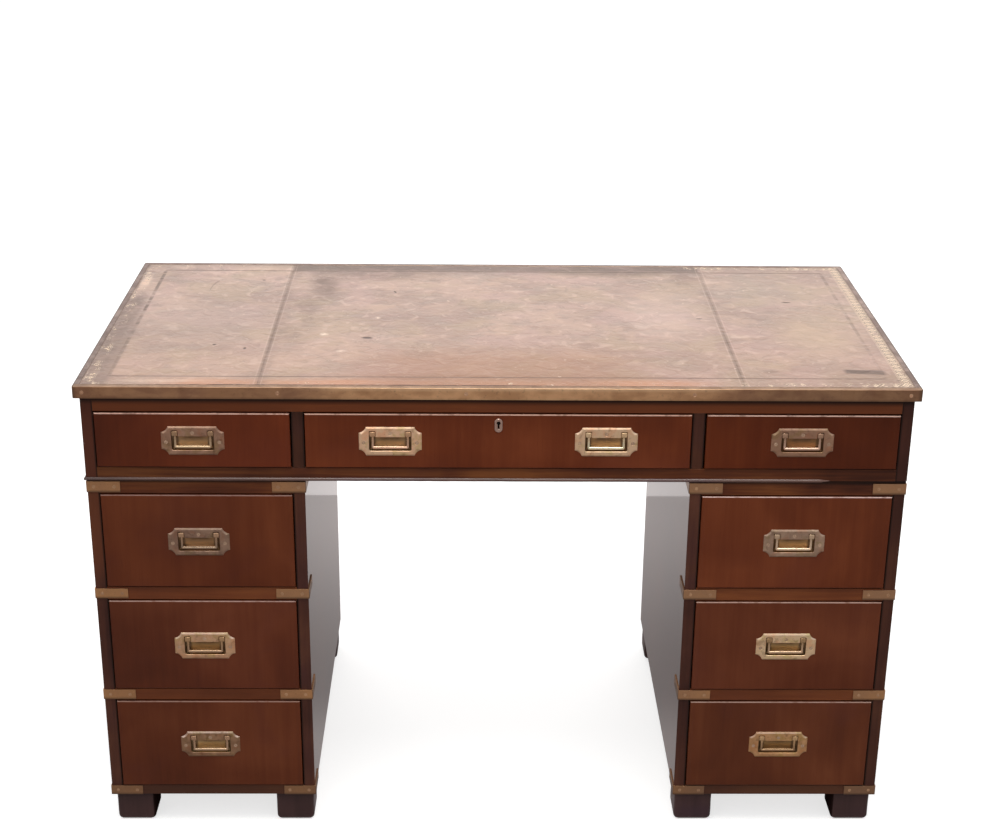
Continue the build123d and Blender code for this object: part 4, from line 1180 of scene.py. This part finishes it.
CASE_DEEP, CASE_MID, CASE_LIGHT = (0.044, 0.0158, 0.0118), (0.083, 0.0285, 0.0182), (0.145, 0.054, 0.028)
side_wood = wood("case_side_mahogany", "Z", 3.3, CASE_DEEP, CASE_MID, CASE_LIGHT, gloss=0.30, specular=0.15, sidelong=(0.52, 0.045), contrast=0.8, wear=0.4, painted_shade_and_darkening=stile_painted_shade, shade=side_shade)
rail_wood = wood("case_rail_mahogany", "X", 5.1, (0.060, 0.0165, 0.0080), (0.125, 0.034, 0.0125), (0.22, 0.070, 0.021), gloss=0.30, specular=0.16, figure=1.3, contrast=1.6, wear=0.35, painted_shade_and_darkening=rail_shade_and_darkening, shade=rail_shade)
back_wood = wood("case_back_mahogany", "X", 7.9, CASE_DEEP, CASE_MID, CASE_LIGHT, gloss=0.36, specular=0.3, contrast=1.2, cloud=0.5, wear=0.3)
divider_wood = wood("divider_mahogany", "Z", 6.2, (0.048, 0.0170, 0.0100), (0.084, 0.0290, 0.0155), (0.13, 0.048, 0.025), gloss=0.30, specular=0.15, contrast=0.9, wear=0.4, painted_shade_and_darkening=divider_painted_shade)


def foot_shade(g, colour):
    """Painted shadow up under the rail, a pale painted reflection along the lower rounding, a black painted contact
    shadow where it meets the floor.
    """
    z = g.xyz[2]
    # painted shadow up under the rail
    colour = g.mix(g.mul(g.step(z, 0.034, 0.047), 0.34), colour, (0.014, 0.007, 0.006))
    # painted reflection of the floor on the polished lower rounding
    rubbed = g.mul(g.step(z, 0.0022, 0.0004), g.step(z, -0.0030, -0.0014))
    colour = g.mix(g.mul(rubbed, 0.5), colour, (0.135, 0.085, 0.076))
    # painted contact shadow where the foot meets the floor
    return g.mix(g.mul(g.step(z, -0.0026, -0.0042), 0.8), colour, (0.012, 0.006, 0.006))


def foot_shaded_sides(g):
    """The sides of the outer feet that look in under the pedestal, painted dark as shade with their polish turned down.
    """
    return g.mul(g.step(across(g), 0.5490, 0.5445), g.step(across(g), 0.44, 0.50))


foot_wood = wood("foot_mahogany", "Z", 2.2, (0.042, 0.0215, 0.0205), (0.066, 0.0315, 0.0300), (0.092, 0.045, 0.042), gloss=0.34, specular=0.22, contrast=0.7, wear=0.35, worn=(0.12, 0.06, 0.045), shade=foot_shade, shaded_matte=foot_shaded_sides)
bead_wood = wood("bead_mahogany", "X", 9.9, (0.075, 0.036, 0.027), (0.130, 0.062, 0.046), (0.19, 0.094, 0.068), gloss=0.20, specular=0.8, contrast=0.9, wear=0.5)


for node in ("frieze_sides", "pedestal_sides"):
    give(node, side_wood)
for node in ("frieze_rails", "pedestal_rails"):
    give(node, rail_wood)
for node in ("frieze_back", "pedestal_backs", "desk_top_panel"):
    give(node, back_wood)
give("frieze_dividers", divider_wood)
for i, node in enumerate(sorted(n for n in NODES if n.endswith("_drawer_box"))):
    give(node, oak("lining_oak_%d" % i, 1.7 * i))
plain_oak = oak("carcase_oak", 20.0)
for node in ("frieze_runners_and_stops", "pedestal_runners_and_stops", "pedestal_top_and_base_boards", "locating_pegs"):
    give(node, plain_oak)

def edge_paint(g, colour, clean):
    """Golden and worn where a sitter's arms rub the front, greyer and dull round the rest; a painted highlight along
    the top of the front, and the upward lip paler, tarnish with a painted reflection.
    """
    facing = g.node("ShaderNodeSeparateXYZ")
    g.put(facing.inputs[0], g.node("ShaderNodeTexCoord").outputs["Normal"])
    up = g.step(facing.outputs[2], 0.55, 0.85)
    x, y, z = g.xyz
    patch = g.noise(g.stretch((1.0, 1.0, 1.6), offset=(3, 3, 3)), 34.0, 4.0, 0.55, 0.4)
    fine = g.noise(g.stretch((1.0, 1.0, 1.0), offset=(1, 2, 6)), 160.0, 3.0, 0.6)
    face = g.mix(g.step(patch, 0.32, 0.68), (0.325, 0.166, 0.094), (0.440, 0.240, 0.127))
    rubbed = g.mix(g.step(patch, 0.32, 0.68), (0.585, 0.320, 0.160), (0.790, 0.460, 0.240))
    middle = g.mul(g.step(x, -0.31, -0.20), g.step(x, 0.36, 0.29), g.step(g.math("ABSOLUTE", x), 0.45, 0.0, 0.70, 1.0))
    face = g.mix(middle, face, rubbed)
    # painted highlight along the top of the front face in the middle
    face = g.mix(g.mul(middle, g.step(z, 0.7330, 0.7388), 0.55), face, (0.960, 0.660, 0.400))
    face = g.mix(g.mul(g.step(z, 0.7258, 0.7228, 0.0, 0.45), g.inv(g.mul(middle, 0.8))), face, (0.160, 0.085, 0.050))
    face = g.mix(g.step(x, 0.33, 0.42, 0.0, 0.22), face, (0.140, 0.085, 0.048))
    end = g.step(g.math("ABSOLUTE", x), 0.6015, 0.6085, 0.0, 0.55)
    face = g.mix(end, face, (0.070, 0.040, 0.028))
    # the upward-facing lip is painted paler and greyer than the face: tarnish with a painted reflection
    lip = g.mix(g.step(patch, 0.34, 0.66), (0.360, 0.262, 0.225), (0.600, 0.465, 0.405))
    lip = g.mix(g.step(fine, 0.52, 0.66, 0.0, 0.5), lip, (0.280, 0.205, 0.178))
    bright_lip = g.mix(g.step(patch, 0.30, 0.66), (0.470, 0.290, 0.185), (0.640, 0.425, 0.285))
    lip = g.mix(g.step(y, -0.2935, -0.2960), lip, bright_lip)
    outline = g.math("MAXIMUM", g.step(g.math("ABSOLUTE", x), 0.6072, 0.6092), g.step(y, 0.2985, 0.3030))
    lip = g.mix(g.step(x, -0.58, -0.60, 0.0, 0.26), lip, (0.170, 0.124, 0.110))
    lip = g.mix(g.mul(outline, 0.76), lip, (0.090, 0.070, 0.064))
    colour = g.mix(up, face, lip)
    return g.mix(g.step(fine, 0.56, 0.74, 0.0, 0.30), colour, (0.120, 0.075, 0.050))


def strap_paint(g, colour, clean):
    """The straps differ a little from corner to corner, are darker along each lower edge and darkest near the floor; in
    the kneehole their side faces are painted dark as shade.
    """
    lean = g.noise(g.stretch((1.0, 1.0, 1.0), offset=(5, 0, 1)), 6.5, 1.0, 0.5)
    colour = g.mix(g.step(lean, 0.38, 0.62, 0.0, 0.45), colour, (0.350, 0.215, 0.138))
    z = g.xyz[2]
    for foot in (0.5690, 0.3940, 0.2195, 0.0470):
        rise = g.math("SUBTRACT", z, foot)
        near = g.mul(g.step(rise, 0.0042, 0.0006), g.step(rise, -0.002, -0.001))
        colour = g.mix(g.mul(near, 0.62), colour, (0.075, 0.045, 0.030))
    # painted shade on the strap faces that turn into the kneehole
    facing = g.node("ShaderNodeSeparateXYZ")
    g.put(facing.inputs[0], g.node("ShaderNodeTexCoord").outputs["Normal"])
    flange_shade = g.mul(g.step(g.math("ABSOLUTE", facing.outputs[0]), 0.4, 0.7), g.step(across(g), 0.30, 0.29))
    colour = g.mix(g.mul(flange_shade, 0.70), colour, (0.130, 0.078, 0.048))
    return g.mix(g.step(g.xyz[2], 0.085, 0.070, 0.0, 0.46), colour, (0.120, 0.070, 0.052))


def plate_paint(seed):
    """Handled plates go rose in places and olive in others."""
    def paint(g, colour, clean):
        hue = g.noise(g.stretch((1.0, 1.0, 1.0), offset=(seed, 3.0, seed)), 62.0, 3.0, 0.55, 0.3)
        dull = g.noise(g.stretch((1.0, 1.0, 1.0), offset=(2.0, seed, 1.0)), 110.0, 4.0, 0.6, 0.5)
        colour = g.mix(g.step(hue, 0.52, 0.68, 0.0, 0.8), colour, (1.0, 0.84, 0.76), "MULTIPLY")
        colour = g.mix(g.step(hue, 0.48, 0.34, 0.0, 0.8), colour, (0.84, 0.88, 0.68), "MULTIPLY")
        return g.mix(g.step(dull, 0.52, 0.70, 0.0, 0.7), colour, (0.58, 0.55, 0.52), "MULTIPLY")

    return paint


edge_brass = brass("edge_binding_brass", 1.0, (0.20, 0.105, 0.062), (0.42, 0.245, 0.115), share=0.35, rough=0.36, edge_light=0.0, metal_low=0.8, specks=0.0, paint=edge_paint)
strap_brass = brass("corner_strap_brass", 2.0, (0.450, 0.228, 0.108), (0.650, 0.345, 0.155), share=0.35, rough=0.38, edge_light=0.30, edge_colour=(0.55, 0.36, 0.22), metal_low=0.75, soft=0.2, paint=strap_paint)
strap_screw = brass("strap_screw_brass", 3.0, (0.500, 0.285, 0.158), (0.710, 0.445, 0.256), share=0.4, rough=0.36, edge_light=0.25, edge_colour=(0.70, 0.50, 0.34))
screw_brass = brass("pull_screw_brass", 3.0, (0.48, 0.320, 0.215), (0.74, 0.520, 0.360), share=0.5, rough=0.34, edge_light=0.20)
edge_screw = brass("edge_screw_brass", 3.4, (0.50, 0.270, 0.158), (0.75, 0.460, 0.285), share=0.5, rough=0.34, edge_light=0.3)
give("brass_edge_binding", edge_brass)
give("edge_binding_screws", edge_screw)
give("corner_straps", strap_brass)
give("corner_strap_screws", strap_screw)
give("keyhole_escutcheon", brass("escutcheon_brass", 4.0, (0.42, 0.27, 0.21), (0.62, 0.43, 0.35), share=0.5, rough=0.28, edge_light=0.8, edge_colour=(0.95, 0.76, 0.66)))


lock_metal = iron("lock_iron")
give("lock_case", lock_metal)
give("lock_bolt", lock_metal)

for node, width in (
    ("pedestal_sides", 0.0006),
    ("frieze_sides", 0.0006),
    ("pedestal_rails", 0.0005),
    ("frieze_rails", 0.0005),
    ("frieze_dividers", 0.0005),
    ("corner_straps", 0.0003),
):
    soften(node, width)

leather_piece(leather_material())


def rounded_square(cx, cy, half, radius, arc=6):
    pts = []
    for sx, sy, start in ((1, 1, 0.0), (-1, 1, 90.0), (-1, -1, 180.0), (1, -1, 270.0)):
        for i in range(arc + 1):
            a = math.radians(start + 90.0 * i / arc)
            pts.append((cx + sx * (half - radius) + radius * math.cos(a), cy + sy * (half - radius) + radius * math.sin(a)))
    return pts


def feet_piece(material):
    """Eight block feet with worn corners, rolled under where they meet the floor."""
    verts, faces = [], []
    half, roll = 29.5, 8.0
    for k, (sx, sy, x) in enumerate([(sx, sy, x) for sx in (-1, 1) for sy in (-1, 1) for x in FOOT_X]):
        rings = []
        lean = 0.5 * flat_noise(k * 1.7, 3.1)
        for i in range(7):
            a = math.pi / 2 * i / 6
            rings.append((roll * (1 - math.cos(a)), roll * (1 - math.sin(a)), 7.0))
        rings += [(18.0, 0.0, 6.5), (34.0, 0.15, 6.2), (51.2, 0.0, 6.0), (52.0, 0.6, 5.6)]
        base = len(verts)
        for z, inset, radius in rings:
            wobble = 1.0 + 0.012 * flat_noise(k * 3.3, z / 16.0)
            verts += [(px, py, z) for px, py in rounded_square(sx * x, sy * FOOT_Y, (half - inset) * wobble, max(1.2, radius + lean - 0.45 * inset))]
        n = 28
        for a in range(len(rings) - 1):
            for i in range(n):
                j = (i + 1) % n
                faces.append((base + a * n + i, base + a * n + j, base + (a + 1) * n + j, base + (a + 1) * n + i))
        faces.append([base + i for i in range(n - 1, -1, -1)])
        last = base + (len(rings) - 1) * n
        faces.append([last + i for i in range(n)])
    mesh = mesh_from("block_feet", verts, faces)
    fix_normals(mesh)
    smooth_by_angle(mesh, 40)
    mesh.materials.append(material)
    made = new_object("block_feet", mesh)
    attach(made, "pedestals")
    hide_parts("pedestal_feet")


def bead_piece(material):
    """The half-round bead round the foot of the frieze, with its splintered right end."""
    face_x, face_y, middle, tall = 602.5, 293.0, 597.0, 2.7
    n = 9
    verts, faces = [], []

    def profile(scale):
        return [(scale * tall * math.sin(math.pi * i / (n - 1)), tall * scale * -math.cos(math.pi * i / (n - 1))) for i in range(n)]

    def sweep(stations):
        base = len(verts)
        for put_at, scale in stations:
            verts.extend(put_at(out, up) for out, up in profile(scale))
        for a in range(len(stations) - 1):
            for i in range(n):
                j = (i + 1) % n
                faces.append((base + a * n + i, base + (a + 1) * n + i, base + (a + 1) * n + j, base + a * n + j))
        faces.append([base + i for i in range(n - 1, -1, -1)])
        last = base + (len(stations) - 1) * n
        faces.append([last + i for i in range(n)])

    def along_side(s, y):
        return lambda out, up: (s * (face_x + out), y, middle + up)

    def along_front(x):
        return lambda out, up: (x, -face_y - out, middle + up)

    run = [(along_side(-1, y), 1.0) for y in (face_y, 150.0, 0.0, -150.0, -285.0)]
    run.append((lambda out, up: (-face_x - out, -face_y - out, middle + up), 1.0))
    x = -595.0
    while x < 474.0:
        run.append((along_front(x), 1.0 + 0.07 * flat_noise(x / 19.0, 0.5, 2.0)))
        x += 12.0
    run += [(along_front(x), scale) for x, scale in ((476.0, 0.96), (479.0, 0.62), (483.5, 0.42), (487.0, 0.30), (489.0, 0.10))]
    sweep(run)
    sweep([(along_side(1, y), scale) for y, scale in ((-259.0, 0.7), (-256.0, 1.0), (-120.0, 1.0), (0.0, 1.0), (150.0, 1.0), (face_y, 1.0))])
    mesh = mesh_from("half_round_bead", verts, faces)
    fix_normals(mesh)
    smooth_by_angle(mesh, 50)
    mesh.materials.append(material)
    made = new_object("half_round_bead", mesh)
    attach(made, "top_section")
    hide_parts("base_bead")


FOOT_X, FOOT_Y = (567.9, 316.2), 255.5
feet_piece(foot_wood)
bead_piece(bead_wood)

# every pull has worn in its own way: dull and bright colour of its plate, share of bright, roughness,
# how much its rim is rubbed and painted with a highlight, then the tints of its grip, its knuckles and its recess
PULLS = {
    "top_left": ((0.35, 0.192, 0.125), (0.54, 0.332, 0.226), 0.30, 0.36, 0.12, (1.26, 1.30, 1.20), (1.40, 1.10, 0.88), (0.94, 0.84, 0.88)),
    "top_centre_left": ((0.94, 0.565, 0.350), (0.98, 0.695, 0.455), 0.55, 0.36, 0.28, (1.40, 1.28, 1.30), (2.35, 1.96, 1.58), (0.90, 0.85, 0.89)),
    "top_centre_right": ((0.84, 0.560, 0.350), (0.98, 0.700, 0.450), 0.50, 0.34, 0.36, (2.00, 2.35, 2.35), (2.95, 2.60, 2.10), (0.92, 0.75, 0.73)),
    "top_right": ((0.385, 0.216, 0.138), (0.60, 0.370, 0.238), 0.35, 0.34, 0.16, (1.45, 1.38, 1.52), (1.50, 1.20, 1.08), (0.67, 0.50, 0.45)),
    "left_upper": ((0.30, 0.182, 0.126), (0.49, 0.322, 0.222), 0.30, 0.34, 0.18, (0.70, 0.69, 0.69), (2.10, 1.80, 1.64), (0.95, 0.81, 0.84)),
    "left_middle": ((0.63, 0.370, 0.215), (0.86, 0.550, 0.325), 0.50, 0.35, 0.75, (0.94, 0.87, 0.80), (2.06, 1.77, 1.30), (0.89, 0.81, 0.73)),
    "left_lower": ((0.30, 0.164, 0.092), (0.53, 0.318, 0.184), 0.35, 0.35, 0.95, (1.06, 1.02, 0.97), (2.10, 1.76, 1.62), (1.12, 1.16, 1.20)),
    "right_upper": ((0.42, 0.276, 0.192), (0.65, 0.466, 0.326), 0.40, 0.32, 0.16, (1.64, 1.78, 1.85), (2.18, 2.12, 2.08), (0.96, 0.84, 0.79)),
    "right_middle": ((0.86, 0.550, 0.322), (0.98, 0.735, 0.458), 0.55, 0.34, 0.58, (1.31, 1.28, 1.23), (1.66, 1.42, 0.96), (0.86, 0.83, 0.78)),
    "right_lower": ((0.56, 0.298, 0.134), (0.80, 0.480, 0.240), 0.50, 0.34, 0.62, (0.80, 0.71, 0.58), (2.90, 2.65, 2.08), (0.89, 0.83, 0.77)),
}
MID_X, TOP_Z = 443.05, 658.75
PULL_AT = {
    "top_left": (-MID_X, TOP_Z, -296.0, "top_left_drawer"),
    "top_right": (MID_X, TOP_Z, -296.0, "top_right_drawer"),
    "top_centre_left": (-157.0, TOP_Z, -296.0, "top_centre_drawer"),
    "top_centre_right": (157.0, TOP_Z, -296.0, "top_centre_drawer"),
}
for side, s in (("left", -1), ("right", 1)):
    for level, z in (("upper", 494.65), ("middle", 319.5), ("lower", 145.6)):
        PULL_AT[side + "_" + level] = (s * MID_X, z, -292.5, side + "_" + level + "_drawer")


def tinted(colour, tint_by):
    return tuple(min(0.98, c * t) for c, t in zip(colour, tint_by))


for i, (stem, (dull, bright, share, rough, rubbed, grip_tint, knuckle_tint, cup_tint)) in enumerate(PULLS.items()):
    plate_brass = brass(
        stem + "_plate_brass", 10.0 + i, dull, bright, share=share, rough=rough, edge_light=0.14, edge_colour=(0.80, 0.60, 0.46), radius=0.0005,
        rim=((0.92, 0.70, 0.59), rubbed), paint=plate_paint(10.0 + i),
    )
    cup_brass = brass(
        stem + "_cup_brass", 6.0 + i, tinted((0.47, 0.315, 0.140), cup_tint), tinted((0.58, 0.410, 0.205), cup_tint), share=0.6, rough=0.32,
        edge_light=0.0, metal_low=0.9, specks=0.12, relief=0.12, soft=0.25, grime_and_shade=(0.120, 0.066, 0.030),
    )
    grip_brass = brass(
        stem + "_bail_brass", 7.0 + i, tinted((0.48, 0.325, 0.215), grip_tint), tinted((0.60, 0.435, 0.300), grip_tint), share=0.7, rough=0.24,
        edge_light=0.10, metal_low=0.9, specks=0.0, relief=0.0, soft=0.30, grime_and_shade=tinted((0.235, 0.160, 0.100), knuckle_tint),
    )
    cx, cz, face_y, body = PULL_AT[stem]
    make_pull(stem, cx, cz, face_y, body, plate_brass, cup_brass, grip_brass, screw_brass, i + 1)


# ------------------------------------------------------------- floor and light
def stage_sheet(name, corners, colour, rough=0.6, glow=None, fade=None, near=None):
    """A plain sheet of the studio; fade makes its glow change along an axis."""
    mesh = bpy.data.meshes.new(name)
    mesh.from_pydata(corners, [], [(0, 1, 2, 3)])
    made = new_object(name, mesh)
    mat = bpy.data.materials.new(name)
    mat.use_nodes = True
    tree = mat.node_tree
    shader = tree.nodes["Principled BSDF"]
    shader.inputs["Base Color"].default_value = (*colour, 1.0)
    shader.inputs["Roughness"].default_value = rough
    shader.inputs["Specular IOR Level"].default_value = 0.1
    if glow:
        shader.inputs["Emission Color"].default_value = (*glow[0], 1.0)
        shader.inputs["Emission Strength"].default_value = glow[1]
    if fade:
        axis, low, high, at_low, at_high = fade
        where = tree.nodes.new("ShaderNodeTexCoord")
        split = tree.nodes.new("ShaderNodeSeparateXYZ")
        span = tree.nodes.new("ShaderNodeMapRange")
        span.interpolation_type = "SMOOTHSTEP"
        tree.links.new(where.outputs["Object"], split.inputs[0])
        tree.links.new(split.outputs[axis], span.inputs[0])
        for socket, value in zip(span.inputs[1:5], (low, high, at_low, at_high)):
            socket.default_value = value
        total = span.outputs[0]
        if near:
            axis, low, high, at_low, at_high = near
            close = tree.nodes.new("ShaderNodeMapRange")
            close.interpolation_type = "SMOOTHSTEP"
            tree.links.new(split.outputs[axis], close.inputs[0])
            for socket, value in zip(close.inputs[1:5], (low, high, at_low, at_high)):
                socket.default_value = value
            sums = tree.nodes.new("ShaderNodeMath")
            tree.links.new(total, sums.inputs[0])
            tree.links.new(close.outputs[0], sums.inputs[1])
            total = sums.outputs[0]
        tree.links.new(total, shader.inputs["Emission Strength"])
    mesh.materials.append(mat)
    return made


far = 40.0


def floor_sheet(name, depth, colour, glow=None, fade=None, near=None):
    corners = [(-far, -far, -depth), (far, -far, -depth), (far, far, -depth), (-far, far, -depth)]
    return stage_sheet(name, corners, colour, glow=glow, fade=fade, near=near)


# what the camera sees, what lights the desk from below, and what its polish mirrors
floor_seen = floor_sheet("floor_seen", 0.0, (0.56, 0.56, 0.56), glow=((1.0, 1.0, 1.0), 0.70))
floor_seen.visible_glossy = False
floor_seen.visible_diffuse = False
floor_seen.visible_shadow = False
floor_seen.visible_transmission = False
floor_under = floor_sheet("floor_under", 0.0004, (0.46, 0.44, 0.44))
floor_under.visible_camera = False
floor_under.visible_glossy = False
# floor_mirrored glows and is seen only in reflections: painted light, its glow weakest under and just behind the desk
# as painted shade
floor_mirrored = floor_sheet("floor_mirrored", 0.0008, (0.56, 0.515, 0.505), glow=((1.0, 0.925, 0.910), 0.3), fade=(1, 0.15, 0.95, 0.142, 0.425), near=(1, -0.07, 0.12, 0.120, 0.0))
floor_mirrored.visible_camera = False
floor_mirrored.visible_diffuse = False
floor_mirrored.visible_shadow = False
floor_mirrored.visible_transmission = False
card = stage_sheet(
    "back_card", [(-3.2, 0.968, 0.0), (3.2, 0.968, 0.0), (3.2, 0.968, 2.6), (-3.2, 0.968, 2.6)], (0.05, 0.05, 0.05),
    glow=((1.0, 0.935, 0.925), 0.6), fade=(2, 0.95, 1.75, 0.92, 0.30),
)
card.visible_camera = False
card.visible_diffuse = False
card.visible_shadow = False
card.visible_transmission = False

world = bpy.data.worlds.new("studio")
world.use_nodes = True
sky = world.node_tree
backdrop = sky.nodes["Background"]
backdrop.inputs[0].default_value = (0.98, 0.99, 1.0, 1.0)
heading = sky.nodes.new("ShaderNodeTexCoord")
split_up = sky.nodes.new("ShaderNodeSeparateXYZ")
rise = sky.nodes.new("ShaderNodeMapRange")
sky.links.new(heading.outputs["Generated"], split_up.inputs[0])
sky.links.new(split_up.outputs[2], rise.inputs[0])
for socket, value in zip(rise.inputs[1:5], (0.0, 1.0, 0.46, 0.74)):
    socket.default_value = value
sky.links.new(rise.outputs[0], backdrop.inputs[1])
scene.world = world


def area(name, at, aim, size, power, colour=(1.0, 0.97, 0.93)):
    data = bpy.data.lights.new(name, "AREA")
    data.shape = "RECTANGLE"
    data.size, data.size_y = size
    data.energy = power
    data.color = colour
    made = bpy.data.objects.new(name, data)
    scene.collection.objects.link(made)
    made.location = at
    made.rotation_euler = (Vector(aim) - Vector(at)).to_track_quat("-Z", "Y").to_euler()
    return made


area("overhead", (0.1, -0.9, 2.7), (0.0, 0.0, 0.5), (1.8, 0.7), 24.0)
area("fill", (-2.2, -2.6, 2.2), (0.0, 0.0, 0.5), (1.6, 1.6), 6.0)
softbox = area("softbox", (0.0, -3.2, 2.9), (0.0, 0.0, 0.5), (4.0, 1.4), 20.0)
softbox.visible_diffuse = False
window = area("window", (0.0, 3.0, 1.9), (0.0, 0.0, 0.74), (4.0, 1.0), 66.0)
window.visible_glossy = False


scene.view_settings.view_transform = "Standard"
scene.view_settings.look = "None"
scene.view_settings.exposure = 0.0
scene.view_settings.gamma = 1.0
scene.render.film_transparent = False
